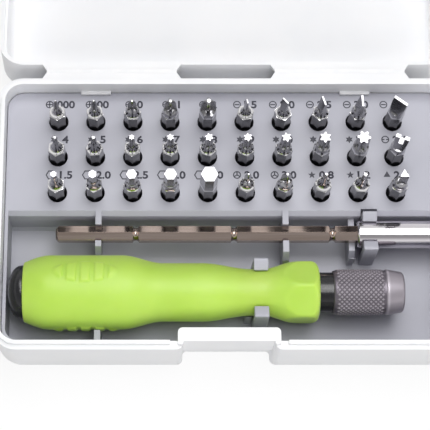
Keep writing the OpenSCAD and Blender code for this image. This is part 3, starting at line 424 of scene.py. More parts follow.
def anodised_aluminium():
    # Knurled, then anodised mauve grey: the points are rubbed pale, and the grooves are darkened as painted
    # shade.
    tree, shader, place = start("anodised_aluminium", Metallic=0.6)
    vary(tree, shader, place, colours().collar, colours().collar, 5, (0.3, 0.44), 0.25, 0.01)
    offset = add_node(tree, "ShaderNodeVectorMath", {0: place, 1: DRIVER_AXIS}, operation="SUBTRACT")
    flat = add_node(tree, "ShaderNodeVectorMath", {0: offset.outputs[0], 1: (0, 1, 1)}, operation="MULTIPLY")
    radius = add_node(tree, "ShaderNodeVectorMath", {0: flat.outputs[0]}, operation="LENGTH")
    tip = (COLLAR_HIGH.z - COLLAR_LOW.z) / 2
    # The share below runs from the grooves' painted shade to the points' worn pale colour.
    worn = add_node(tree, "ShaderNodeMapRange", {
        "Value": radius.outputs["Value"], "From Min": tip - GROOVE_SHADE_DEPTH * MM, "From Max": tip - WEAR_FULL * MM})
    along = add_node(tree, "ShaderNodeSeparateXYZ", {0: place}).outputs["X"]
    nose_at = COLLAR_HIGH.x - NOSE_LENGTH * MM
    nose = add_node(tree, "ShaderNodeMapRange", {
        "Value": along, "From Min": nose_at - NOSE_FADE * MM, "From Max": nose_at + NOSE_FADE * MM,
        "To Max": NOSE_TIP_SHARE})
    share = add_node(tree, "ShaderNodeMath", {0: worn.outputs["Result"], 1: nose.outputs["Result"]},
                     operation="MAXIMUM")
    # Painted shade in the grooves, the worn pale colour on the points, and the nose in between.
    mix = add_node(tree, "ShaderNodeMix", {
        SHARE: share.outputs[0], FIRST: colours().collar_groove_shade, SECOND: colours().collar}, data_type="RGBA")
    tree.links.new(mix.outputs[MIXED], shader.inputs["Base Color"])


# Heights over a bit's shoulder, in millimetres, between which the painted highlight at its rim and its tip's
# colour come in
RIM_HIGHLIGHT_BAND, TIP_BAND = (-0.12, 0), (0.5, 1.3)


def chrome_vanadium():
    # Chrome vanadium steel, shot-blasted dark with a sparkle of 0.25 mm grain, then turned, so that the tip
    # above the shoulder is satin. The bright band at the foot of the shoulder is a painted highlight.
    tree, shader, place = start("chrome_vanadium", Metallic=1.0)
    mix = vary(tree, shader, place, colours().bit, colours().bit_dark, 1.6, (0.14, 0.24), 0.25, 0.006)
    height = add_node(tree, "ShaderNodeSeparateXYZ", {0: place}).outputs["Z"]
    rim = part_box(BIT_NODES[0])[0].z + BIT_SHOULDER * MM
    # The first band paints a highlight on the foot of the shoulder; the second brings in the tip's colour.
    for low, high, shade in ((*RIM_HIGHLIGHT_BAND, colours().bit_rim_highlight), (*TIP_BAND, colours().bit_tip)):
        share = add_node(tree, "ShaderNodeMapRange", {
            "Value": height, "From Min": rim + low * MM, "From Max": rim + high * MM})
        mix = add_node(tree, "ShaderNodeMix", {
            SHARE: share.outputs["Result"], FIRST: mix.outputs[MIXED], SECOND: shade}, data_type="RGBA")
    tree.links.new(mix.outputs[MIXED], shader.inputs["Base Color"])


def nickel_plate():
    # Drawn hexagonal bar under warm nickel plate: fine lines along its length, drawn 0.2 mm apart.
    tree, shader, place = start("nickel_plate", Metallic=1.0)
    lines = add_node(tree, "ShaderNodeMapping", {"Vector": place, "Scale": (0.03, 1, 1)}).outputs["Vector"]
    vary(tree, shader, lines, colours().rod, colours().rod_dark, 0.9, (0.1, 0.17), 0.2, 0.003)


def chrome_plate():
    # Turned steel, polished and chrome-plated: mirror bright, with faint turning rings.
    tree, shader, place = start("chrome_plate", Metallic=1.0)
    rings = add_node(tree, "ShaderNodeMapping", {"Vector": place, "Scale": (1, 0.04, 0.04)}).outputs["Vector"]
    vary(tree, shader, rings, colours().chrome, colours().chrome, 2.5, (0.08, 0.14), 0.3, 0.002)


def turned_steel():
    # Turned and left bright: satin metal with rings round its axis.
    tree, shader, place = start("turned_steel", Metallic=1.0)
    rings = add_node(tree, "ShaderNodeMapping", {"Vector": place, "Scale": (1, 0.05, 0.05)}).outputs["Vector"]
    vary(tree, shader, rings, colours().steel, colours().bit_dark, 1.2, (0.18, 0.32), 0.25, 0.006)


def nickel_magnet():
    # Sintered magnet under nickel plate: slightly yellow, with a soft orange-peel skin.
    made = start("nickel_magnet", Metallic=1.0)
    vary(*made, colours().magnet, colours().rod_dark, 0.8, (0.2, 0.34), 0.3, 0.01)


def pad_print_ink():
    # Pad-printed ink: thin, matt and slightly uneven in density.
    made = start("pad_print_ink", IOR=1.5)
    vary(*made, colours().ink, colours().ink_thin, 0.7, (0.5, 0.66), 0.2, 0.004)


MATERIALS = (frosted_polypropylene, flexed_polypropylene, grey_polystyrene, lime_elastomer, black_abs,
             anodised_aluminium, chrome_vanadium, nickel_plate, chrome_plate, turned_steel, nickel_magnet,
             pad_print_ink)


def finish(name):
    """The material of that name, made when it is first wanted."""
    if name not in bpy.data.materials:
        next(make for make in MATERIALS if make.__name__ == name)()
    return bpy.data.materials[name]


# Pieces


class SCREWDRIVERSET_OT_case(bpy.types.Operator):
    """Base and lid of the case, with moulded edges"""
    bl_idname = "screwdriver_set.case"
    bl_label = "Case"

    def execute(self, context):
        for node, body in (("case_base", "case"), ("case_lid", "lid")):
            dress(node, node + "_shell", "frosted_polypropylene", body, "case_plastic", sizes().moulding_edge)
        return {"FINISHED"}


# How far the films reach and bend on each side of the fold, in millimetres, and the cuts across them
FILM_REACH, FILM_BEND, FILM_CUTS = 0.5, 0.33, 11


class SCREWDRIVERSET_OT_hinge(bpy.types.Operator):
    """Thin films of the living hinge, at the fold between the case and the lid"""
    bl_idname = "screwdriver_set.hinge"
    bl_label = "Living hinge"

    def execute(self, context):
        fold = (FOLD_LOW + FOLD_HIGH) / 2
        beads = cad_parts["hinge_films"].data.vertices
        inner = min(abs(vertex.co.x) for vertex in beads)
        film, reach, bend = sizes().film, FILM_REACH * MM, FILM_BEND * MM
        bpy.ops.object.select_all(action="DESELECT")
        bpy.ops.mesh.primitive_cube_add(
            size=1, location=((inner + FOLD_HIGH.x) / 2, fold.y, fold.z - film / 2),
            scale=(FOLD_HIGH.x - inner, 2 * reach, film))
        strip = named("hinge_strips")
        settle(strip)
        with editing(strip):
            bpy.ops.mesh.select_all(action="DESELECT")
            bpy.ops.object.mode_set(mode="OBJECT")
            points = strip.data.vertices
            for edge in strip.data.edges:
                a, b = (points[i].co for i in edge.vertices)
                edge.select = abs(a.y - b.y) > reach
            bpy.ops.object.mode_set(mode="EDIT")
            bpy.ops.mesh.select_mode(type="EDGE")
            bpy.ops.mesh.subdivide(number_cuts=FILM_CUTS)
            bpy.ops.mesh.select_mode(type="VERT")
        modify(strip, "MIRROR", use_axis=(True, False, False))
        smooth(strip)
        strip.data.materials.append(finish("flexed_polypropylene"))
        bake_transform(strip)
        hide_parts("hinge_films")
        return {"FINISHED"}


class SCREWDRIVERSET_OT_tray(bpy.types.Operator):
    """The tray as one moulding, and its spring clips"""
    bl_idname = "screwdriver_set.tray"
    bl_label = "Tray and clips"

    def execute(self, context):
        nodes = ("bit_tray", "tool_tray", "tray_walls", "tray_ribs")
        tray = from_solids("tray_moulding", *nodes)
        soften(tray, sizes().tray_edge)
        give(tray, "grey_polystyrene", "case", "tray_plastic", *nodes)
        for node in ("driver_clip", "rod_clip"):
            clip = from_solids(node + "_arms", node)
            soften(clip, sizes().clip_edge, 3)
            give(clip, "grey_polystyrene", "case", "tray_plastic", node)
        return {"FINISHED"}


# The grip's stations: distance from its rear end and diameter, in millimetres
GRIP_STATIONS = ((0, 15.5), (7, 19.4), (25.5, 19.4), (36.5, 15.3), (46.5, 15.3), (59.5, 12.2), (62, 12.2),
                 (72.5, 16.9), (74.5, 16.9))
GRIP_REAR_LENGTH, GRIP_REAR_RADIUS, GRIP_END_RADIUS, GRIP_BORE = 0.5, 0.45, 2.5, 5.25
GRIP_STEP, GRIP_PAD_STEP, GRIP_STEPS_ROUND = 0.6, 0.2, 240
# The thumb pads: their middle, size and lobes, the stretch of fine steps under them, the least radius that
# they lie on and their places round the grip
PAD_AT, PAD_LENGTH, PAD_WIDTH = 16.25, 17.2, 6.6
PAD_LOBES, PAD_GROOVE = 5, 0.8
PAD_FROM, PAD_TO, PAD_RADIUS = 6, 27, 9
PAD_TURNS = [math.radians(22 + 120 * k) for k in range(3)]
# The flange: its hexagon, where it starts, the least radius that is cut and the rounding of its edges
FLANGE_FLATS, FLANGE_START, FLANGE_CORE, FLANGE_ROUND = 14.9, 66, 6.2, 0.08


def grip_radius(s):
    """Radius of the grip at a distance from its rear end, in millimetres."""
    (s0, d0), (s1, d1) = next(pair for pair in zip(GRIP_STATIONS, GRIP_STATIONS[1:]) if s <= pair[1][0])
    t = (s - s0) / (s1 - s0)
    ease = math.sin(math.pi / 2 * t) if s0 == 0 else (1 - math.cos(math.pi * t)) / 2
    return (d0 + (d1 - d0) * ease) / 2


def grip_profile():
    """The grip's outline from the bore's rear end, over its outside and back through the bore."""
    last, rim = GRIP_STATIONS[-1]
    outside = []
    s = GRIP_REAR_LENGTH
    while s < last:
        outside.append((s, grip_radius(s)))
        s += GRIP_PAD_STEP if PAD_FROM < s < PAD_TO else GRIP_STEP
    edge = grip_radius(GRIP_REAR_LENGTH) - GRIP_REAR_RADIUS
    rear = [(GRIP_REAR_LENGTH * (1 - math.sin(a)), edge + GRIP_REAR_RADIUS * math.cos(a))
            for a in [math.radians(90 - 30 * k) for k in range(3)]]
    front = [(last + GRIP_END_RADIUS * math.sin(a), rim / 2 - GRIP_END_RADIUS * (1 - math.cos(a)))
             for a in [math.radians(9 * k) for k in range(11)]]
    loop = [(0, GRIP_BORE)] + rear + outside + front + [(last + GRIP_END_RADIUS, GRIP_BORE), (0, GRIP_BORE)]
    return [(GRIP_LOW.x + s * MM, r * MM) for s, r in loop]


def pad_share(point):
    """How far a point of the grip is up the side of a pad's lobe."""
    radius, turn = round_axis(point)
    along = (point.x - GRIP_LOW.x) / MM - PAD_AT
    if abs(along) >= PAD_LENGTH / 2 or radius < PAD_RADIUS * MM:
        return 0
    across = min(abs(math.remainder(turn - pad, math.tau)) for pad in PAD_TURNS) * radius / MM
    from_edge = (1 - math.hypot(2 * along / PAD_LENGTH, 2 * across / PAD_WIDTH)) * PAD_WIDTH / 2
    pitch = (PAD_LENGTH + PAD_GROOVE) / PAD_LOBES
    step = (along + PAD_LENGTH / 2) % pitch
    inside = min(from_edge, step, pitch - PAD_GROOVE - step) * MM / sizes().pad_round
    return math.sin(min(1, max(0, inside)) * math.pi / 2)


def flat_share(point):
    """How far a point of the grip's flange stands outside the flange's hexagon, in millimetres."""
    radius, turn = round_axis(point)
    if (point.x - GRIP_LOW.x) / MM < FLANGE_START or radius < FLANGE_CORE * MM:
        return 0
    from_flat = math.remainder(turn - math.radians(30), math.radians(60))
    over = radius / MM - FLANGE_FLATS / 2 / math.cos(from_flat)
    return (over + math.hypot(over, FLANGE_ROUND)) / 2


class SCREWDRIVERSET_OT_grip(bpy.types.Operator):
    """Soft grip with lobed thumb pads and a hexagonal flange"""
    bl_idname = "screwdriver_set.grip"
    bl_label = "Grip"

    def execute(self, context):
        grip = lathe("grip_sleeve", grip_profile(), GRIP_STEPS_ROUND)
        raise_by(grip, -MM, flat_share)
        raise_by(grip, sizes().pad_height, pad_share)
        smooth(grip)
        give(grip, "lime_elastomer", "driver", "grip_rubber", "handle_grip")
        return {"FINISHED"}


class SCREWDRIVERSET_OT_core(bpy.types.Operator):
    """Hard core of the handle, its swivel cap and the cap's pin"""
    bl_idname = "screwdriver_set.core"
    bl_label = "Core and cap"

    def execute(self, context):
        dress("handle_core", "core", "black_abs", "driver", "black_plastic", sizes().core_edge)
        dress("end_cap", "swivel_cap", "black_abs", "end_cap", "black_plastic", sizes().cap_edge)
        dress("cap_pin", "swivel_pin", "turned_steel", "driver", "bright_steel", sizes().pin_edge)
        return {"FINISHED"}


# The collar's knurl, in millimetres along and across, and its stations before the knurl, on the nose and
# inside, with the ramp that the locking ball rises into. KNURL_NEAR is how near the grid a point has to be.
KNURL_START, KNURL_END, KNURL_FOOT = 0.7, 13.2, 5.75
KNURL_ROWS, KNURL_AROUND, KNURL_NEAR = 20, 56, 0.01
COLLAR_REAR = [(0, 5.26), (0, 5.42), (0.12, 5.55), (0.3, 5.66), (0.5, 5.72)]
COLLAR_NOSE = [(13.6, 5.74), (13.8, 5.93), (13.95, 6), (14.15, 6), (17.8, 5.33), (18.1, 5.2), (18.3, 5.02),
               (18.4, 4.85)]
COLLAR_BORES = [(18.4, 4.8), (15.75, 4.8), (15.75, 4.22), (12.49, 3.86), (9.3, 3.86), (9.3, 5.26), (0, 5.26)]

# The spring's wire, in millimetres, its turns, the sides of its wire and the steps of a turn
SPRING_WIRE, SPRING_TURNS, SPRING_SIDES, SPRING_STEPS = 0.6, 5, 12, 28


def collar_profile():
    """The collar's outline, from its rear bore over the knurl and the nose to the bores inside."""
    pitch = (KNURL_END - KNURL_START) / KNURL_ROWS
    rows = [(KNURL_START + pitch * row, KNURL_FOOT) for row in range(KNURL_ROWS + 1)]
    loop = COLLAR_REAR + rows + COLLAR_NOSE + COLLAR_BORES
    return [(COLLAR_LOW.x + s * MM, r * MM) for s, r in loop]


def knurl_share(point):
    """1 at every second point of the knurl's grid."""
    radius, turn = round_axis(point)
    row = ((point.x - COLLAR_LOW.x) / MM - KNURL_START) / (KNURL_END - KNURL_START) * KNURL_ROWS
    step = round(turn / math.tau * KNURL_AROUND)
    inside = 0 < round(row) < KNURL_ROWS and radius > (KNURL_FOOT - 2 * KNURL_NEAR) * MM
    on_grid = inside and abs(row - round(row)) < KNURL_NEAR
    return 1 if on_grid and (round(row) + step) % 2 == 0 else 0


class SCREWDRIVERSET_OT_chuck(bpy.types.Operator):
    """Knurled collar of the quick-release chuck, with the sleeve, ball, ring and spring inside it"""
    bl_idname = "screwdriver_set.chuck"
    bl_label = "Chuck"

    def execute(self, context):
        collar = lathe("knurled_collar", collar_profile(), KNURL_AROUND)
        raise_by(collar, sizes().knurl_height, knurl_share)
        with editing(collar):
            bpy.ops.mesh.quads_convert_to_tris(quad_method="SHORTEST_DIAGONAL")
        smooth(collar, KNURL_ANGLE)
        give(collar, "anodised_aluminium", "collar", "collar_metal", "chuck_collar")
        edge = sizes().steel_edge
        dress("chuck_sleeve", "socket_sleeve", "turned_steel", "driver", "bright_steel", edge)
        dress("lock_ball", "locking_ball", "turned_steel", "ball", "bright_steel", sizes().ball_edge)
        dress("stop_ring", "snap_ring", "turned_steel", "driver", "bright_steel", edge)
        self.spring()
        return {"FINISHED"}

    def spring(self):
        low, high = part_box("collar_spring")
        wire = SPRING_WIRE * MM
        coil = (high.z - low.z - wire) / 2
        pitch = (high.x - low.x - wire) / SPRING_TURNS
        bpy.ops.object.select_all(action="DESELECT")
        bpy.ops.mesh.primitive_circle_add(
            vertices=SPRING_SIDES, radius=wire / 2, rotation=(math.pi / 2, 0, 0),
            location=DRIVER_AXIS + Vector((low.x + wire / 2, 0, 0)))
        spring = named("return_spring")
        select_only(spring)
        bpy.ops.object.transform_apply(location=False, rotation=True, scale=True)
        with editing(spring):
            bpy.ops.transform.translate(value=(0, 0, coil))
        modify(spring, "SCREW", axis="X", angle=math.tau, screw_offset=pitch, iterations=SPRING_TURNS,
               steps=SPRING_STEPS, render_steps=SPRING_STEPS, use_merge_vertices=True)
        settle(spring)
        with editing(spring):
            bpy.ops.mesh.remove_doubles(threshold=MERGE_DISTANCE)
            bpy.ops.mesh.fill_holes(sides=0)
            bpy.ops.mesh.select_all(action="SELECT")
            bpy.ops.mesh.normals_make_consistent(inside=False)
        smooth(spring)
        give(spring, "turned_steel", "driver", "bright_steel", "collar_spring")
        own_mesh(spring)


class SCREWDRIVERSET_OT_extension(bpy.types.Operator):
    """Extension rod with its turned necks, its bit socket and the magnet in it"""
    bl_idname = "screwdriver_set.extension"
    bl_label = "Extension rod"

    def execute(self, context):
        edge = sizes().steel_edge
        dress("extension_rod", "hexagon_rod", "nickel_plate", "rod", "rod_steel", edge)
        dress("rod_socket", "round_socket", "chrome_plate", "rod", "socket_chrome", 2 * edge)
        dress("socket_magnet", "seat_magnet", "nickel_magnet", "rod", "magnet", edge)
        return {"FINISHED"}


# The bits, in millimetres from the foot up: the shank that all share, the thickest neck, the highest hollow
# and the steps round them
BIT_FLATS, BIT_FOOT_BEVEL, BIT_SHOULDER, BIT_TOP = 4, 0.4, 19, 28
BIT_RADIUS = BIT_FLATS / 2 / math.cos(math.radians(30))
BIT_NECK, BIT_HOLLOW, BIT_STEPS = 2.2, 4.5, 36
# The lengths of slim and other tips, the widths under which a tip is slim, the necks of hexagons and of other
# tips as shares of their width, and how far and how thick the neck runs on inside the tip
SLIM_TIP, FULL_TIP = 4, 6.5
SLIM_WIDTHS = {"hex": 2.2, "star": 1.6, "five_star": 1.6}
HEXAGON_NECK, TIP_NECK, ROOT_LENGTH, ROOT_SHARE = 1.2, 1.06, 0.5, 0.6
# How far tips draw in, a star's waist and a blade's foot as shares of its lobes and its neck, the depth of
# the forked blade's notch, and how far a cutting shape stands past what it cuts
TIP_TAPERS = {"star": 0.9, "five_star": 0.9, "hex": 0.96, "triangle": 0.9, "cross": 0.8, "wing": 0.8}
STAR_WAIST, BLADE_FOOT, FORK_NOTCH, SPARE = 0.68, 0.85, 2.8, 1
# A crossed or winged point: distances back from its end, and its radius there as a share of its width
POINT_STATIONS = ((3, 0.48), (1, 0.3), (0, 0.12))
# Each tip's width and end thickness, in millimetres, and its turn in degrees
BIT_TIPS = {
    "bit_cross_000": (1.5, 0.4, 30), "bit_cross_00": (1.9, 0.5, 45), "bit_cross_0": (2.5, 0.65, 3),
    "bit_cross_1": (3.4, 0.8, 5), "bit_cross_2": (4.2, 0.95, 0), "bit_slot_1_5": (1.5, 0.3, 10),
    "bit_slot_2_0": (2, 0.35, 41), "bit_slot_2_5": (2.5, 0.4, 18), "bit_slot_3_0": (3, 0.5, 3),
    "bit_slot_4_0": (4, 0.7, 53), "bit_star_4": (1.3, 0, 25), "bit_star_5": (1.45, 0, 5),
    "bit_star_6": (1.7, 0, 27), "bit_star_7": (2, 0, 36), "bit_star_8": (2.3, 0, 44),
    "bit_star_9": (2.5, 0, 36), "bit_star_10": (2.75, 0, 41), "bit_star_15": (3.3, 0, 27),
    "bit_star_20": (3.85, 0, 55), "bit_fork_2_6": (3.6, 1, 70), "bit_hex_1_5": (1.5, 0, 27),
    "bit_hex_2_0": (2, 0, 28), "bit_hex_2_5": (2.5, 0, 5), "bit_hex_3_0": (3, 0, 0),
    "bit_hex_4_0": (4, 0, 0), "bit_wing_2_0": (2, 0.45, 30), "bit_wing_3_0": (3, 0.6, 36),
    "bit_five_star_0_8": (1.1, 0, 41), "bit_five_star_1_2": (1.5, 0, 55), "bit_triangle_2_3": (3, 0, 90)}


def tip_shape(node):
    """The kind of a bit's tip and its size, as its node names them."""
    words = node.split("_")[1:]
    shape = "_".join(word for word in words if word.isalpha())
    figure = ".".join(word for word in words if word.isdigit())
    return shape, figure


def ring(points, radii, spread=0):
    """Points round the origin: lobes of each radius in turn, of one point, or of two that spread."""
    turns = [(k, side) for k in range(points) for side in ((-spread, spread) if spread else (0,))]
    angles = [(radii[k % len(radii)], math.radians(360 * k / points + side)) for k, side in turns]
    return [(radius * math.cos(a), radius * math.sin(a)) for radius, a in angles]


def tip_plan(shape, width, end, neck):
    """The outline of a tip at its foot, in millimetres, and how it draws in to its end."""
    half = width / 2
    if shape in ("slot", "fork"):
        thick = BLADE_FOOT * neck
        return [(thick, -half), (thick, half), (-thick, half), (-thick, -half)], (end / 2 / thick, 1)
    taper = (TIP_TAPERS[shape], TIP_TAPERS[shape])
    if shape in ("star", "five_star"):
        lobes = 6 if shape == "star" else 5
        return ring(2 * lobes, (half, STAR_WAIST * half), 45 / lobes), taper
    if shape == "hex":
        return ring(6, (half / math.cos(math.radians(30)),)), taper
    if shape == "triangle":
        return ring(3, (half,)), taper
    arms = 4 if shape == "cross" else 3
    step = math.pi / arms
    reach = math.hypot(neck, end / 2)
    aside = math.atan2(end / 2, neck)
    corner = end / 2 / math.sin(step)
    polar = [spot for k in range(arms) for spot in (
        (reach, 2 * step * k - aside), (reach, 2 * step * k + aside), (corner, 2 * step * k + step))]
    return [(radius * math.cos(a), radius * math.sin(a)) for radius, a in polar], taper


class SCREWDRIVERSET_OT_bits(bpy.types.Operator):
    """The bits, each with its hexagonal shank, its hollow shoulder and its shaped tip"""
    bl_idname = "screwdriver_set.bits"
    bl_label = "Bits"

    def execute(self, context):
        for node in BIT_NODES:
            shape, _ = tip_shape(node)
            width, end, turn = BIT_TIPS[node]
            bit = self.bit(node.replace("bit_", "drive_bit_", 1), shape, width, end)
            low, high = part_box(node)
            bit.location = ((low.x + high.x) / 2, (low.y + high.y) / 2, low.z)
            bit.rotation_euler.z = math.radians(turn)
            settle(bit)
            soften(bit, sizes().bit_edge)
            give(bit, "chrome_vanadium", node, "bit_steel", node)
        return {"FINISHED"}

    def bit(self, name, shape, width, end):
        tip_foot = BIT_TOP - (SLIM_TIP if width < SLIM_WIDTHS.get(shape, 0) else FULL_TIP)
        neck = min(BIT_NECK, width / 2 * (HEXAGON_NECK if shape == "hex" else TIP_NECK))
        foot = [(0, 0), (0, BIT_RADIUS - BIT_FOOT_BEVEL), (BIT_FOOT_BEVEL, BIT_RADIUS)]
        root = [(tip_foot + ROOT_LENGTH, ROOT_SHARE * neck), (tip_foot + ROOT_LENGTH, 0)]
        bit = self.turned(name, foot + self.shoulder(neck, tip_foot) + root)
        below, above = tip_foot - 2 * SPARE, BIT_TOP + SPARE
        cut(bit, prism("hexagon", ring(6, (BIT_RADIUS,)), -SPARE, above), "INTERSECT")
        plan, taper = tip_plan(shape, width, end, neck)
        tip = prism("tip", plan, tip_foot - SPARE, BIT_TOP, taper)
        if shape in ("cross", "wing"):
            point = [(BIT_TOP - back, share * width) for back, share in POINT_STATIONS]
            cut(tip, self.turned("point", [(below, 0), (below, neck)] + point + [(BIT_TOP, 0)]), "INTERSECT")
        if shape in ("slot", "fork"):
            reach = max(neck, width / 2)
            cylinder = [(below, 0), (below, reach), (above, reach), (above, 0)]
            cut(tip, self.turned("round", cylinder), "INTERSECT")
        if shape == "fork":
            notch = [(x * width, y * width / 6) for x, y in ((1, -1), (1, 1), (-1, 1), (-1, -1))]
            cut(tip, prism("notch", notch, BIT_TOP - FORK_NOTCH, above), "DIFFERENCE")
        cut(bit, tip, "UNION")
        return bit

    def shoulder(self, neck, tip_foot):
        """The hollow from the shank's rim up to the neck."""
        high = min(BIT_HOLLOW, tip_foot - BIT_SHOULDER)
        deep = BIT_RADIUS - neck
        turns = [math.radians(15 * k) for k in range(7)]
        return [(BIT_SHOULDER + high * (1 - math.cos(a)), neck + deep * (1 - math.sin(a))) for a in turns]

    def turned(self, name, profile):
        """A profile of heights and radii, in millimetres, turned round the upright axis."""
        points = [(height * MM, radius * MM) for height, radius in profile]
        return lathe(name, points, BIT_STEPS, Vector((0, 0, 1)), Vector((1, 0, 0)), Vector())


# Printed marks

# The gap under the ink, how far the digits are thickened, how much wider than the font's they are, the steps
# of their curves and the steps round a sign
INK_GAP, DIGIT_WEIGHT, DIGIT_STRETCH, DIGIT_STEPS, SIGN_STEPS = 0.004 * MM, 0.03, 1.15, 4, 36


def disc(points, inset=0, scale=1, turn=0):
    """A flat regular figure, or its outline."""
    bpy.ops.object.select_all(action="DESELECT")
    bpy.ops.mesh.primitive_circle_add(
        vertices=points, radius=sizes().icon_width / 2 * scale, fill_type="NGON",
        rotation=(0, 0, math.radians(turn)))
    piece = named("sign")
    settle(piece)
    if inset:
        with editing(piece):
            bpy.ops.mesh.inset(thickness=inset * MM)
            bpy.ops.mesh.delete(type="FACE")
    return piece


def bar(width, height, middle=(0, 0), turn=0):
    """A flat bar of that size, in millimetres, turned about the sign's middle."""
    bpy.ops.object.select_all(action="DESELECT")
    bpy.ops.mesh.primitive_plane_add(size=MM)
    piece = named("bar")
    with editing(piece):
        bpy.ops.transform.resize(value=(width, height, 1))
        bpy.ops.transform.translate(value=(middle[0] * MM, middle[1] * MM, 0))
        bpy.ops.transform.rotate(value=math.radians(turn), orient_axis="Z", center_override=(0, 0, 0))
    return piece


def pointed(points, waist):
    """A filled star."""
    piece = disc(2 * points)
    with editing(piece):
        bpy.ops.mesh.select_all(action="DESELECT")
        bpy.ops.object.mode_set(mode="OBJECT")
        for vertex in piece.data.vertices:
            vertex.select = vertex.index % 2 == 1
        bpy.ops.object.mode_set(mode="EDIT")
        bpy.ops.transform.resize(value=(waist, waist, 1), center_override=(0, 0, 0))
    return piece


def sign(shape):
    """The sign for one kind of tip, with its lines' widths and lengths in millimetres."""
    line, arm, blade = 0.3, 0.32, 0.36
    parts = {
        "cross": lambda: [disc(SIGN_STEPS, line), bar(1.6, arm), bar(arm, 1.6)],
        "slot": lambda: [disc(SIGN_STEPS, line), bar(1.3, blade)],
        "star": lambda: [pointed(6, 0.55)],
        "fork": lambda: [disc(SIGN_STEPS, line), bar(0.6, blade, (-0.5, 0)), bar(0.6, blade, (0.5, 0))],
        "hex": lambda: [disc(6, line, 1.35, 30)],
        "wing": lambda: [disc(SIGN_STEPS, line)] + [bar(arm, 0.8, (0, 0.4), 120 * k) for k in range(3)],
        "five_star": lambda: [pointed(5, 0.42)],
        "triangle": lambda: [disc(3)],
    }[shape]()
    return joined("sign_" + shape, parts)


class SCREWDRIVERSET_OT_marks(bpy.types.Operator):
    """Printed sign and size behind each bit"""
    bl_idname = "screwdriver_set.marks"
    bl_label = "Marks"

    def execute(self, context):
        signs, parts = {}, []
        for node in BIT_NODES:
            shape, figure = tip_shape(node)
            if shape not in signs:
                signs[shape] = sign(shape)
            low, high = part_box(node)
            place = Vector(((low.x + high.x) / 2 + sizes().mark_aside,
                            (low.y + high.y) / 2 + sizes().mark_back, PLATE_Z + INK_GAP))
            icon = duplicate(signs[shape], "mark")
            number = self.number(figure)
            wide = max(sizes().mark_width, icon.dimensions.x + sizes().mark_gap + number.dimensions.x)
            icon.location = place + Vector((icon.dimensions.x / 2 - wide / 2, 0, 0))
            number.location = place + Vector((wide / 2 - number.dimensions.x, -sizes().mark_height / 2, 0))
            parts += [icon, number]
        for piece in parts:
            settle(piece)
        for piece in signs.values():
            bpy.data.objects.remove(piece)
        marks = joined("bit_marks", parts)
        modify(marks, "SOLIDIFY", thickness=sizes().ink_thickness, offset=1)
        give(marks, "pad_print_ink", "case", "black_plastic")
        return {"FINISHED"}

    def number(self, figure):
        bpy.ops.object.select_all(action="DESELECT")
        bpy.ops.object.text_add()
        text = bpy.context.object
        text.data.body = figure
        text.data.resolution_u = DIGIT_STEPS
        text.data.offset = DIGIT_WEIGHT
        bpy.ops.object.convert(target="MESH")
        text = named("mark")
        lows = [min(v.co[k] for v in text.data.vertices) for k in (0, 1)]
        scale = sizes().mark_height / (max(v.co.y for v in text.data.vertices) - lows[1])
        text.location = -Vector((lows[0], lows[1], 0)) * scale
        text.scale = (scale, scale, scale)
        settle(text)
        text.scale.x = DIGIT_STRETCH
        settle(text)
        return text


# Stage

# The lamps: name, place, aim, width and depth, in metres, and watts. Metal doesn't mirror the front one.
LAMPS = (
    ("key", (0.05, 0.2, 0.57), (0, 0, 0), 0.4, 0.24, 1.55),
    ("top", (0.08, -0.02, 0.7), (0, 0, 0), 0.3, 0.3, 1.45),
    ("front", (0.05, -0.44, 0.38), (0, 0, 0.02), 0.9, 0.35, 1.8))
CAMERA_PLACE, CAMERA_TILT = (-17.95 * MM, -113.4 * MM, 410.6 * MM), math.radians(17.428)
CAMERA_LENS, CAMERA_SENSOR, CAMERA_SHIFT = 129.08, 36, (0.1301, -0.0814)
FLOOR_SIZE, FLOOR_DROP, FLOOR_GLOW = 4, 0.05 * MM, 0.85
# The white room's light and its look, from its foot to its top, and the white panel in it
ROOM_LIGHT = {"From Min": 0.2, "From Max": 0.5, "To Min": 0.5, "To Max": 0.1}
ROOM_WALLS = {"From Min": 0.42, "From Max": 0.75, "To Min": 1.0, "To Max": 0.4}
PANEL_TOWARDS, PANEL_EDGE = (0.1, 0.45, 0.89), {"From Min": 0.86, "From Max": 0.9}


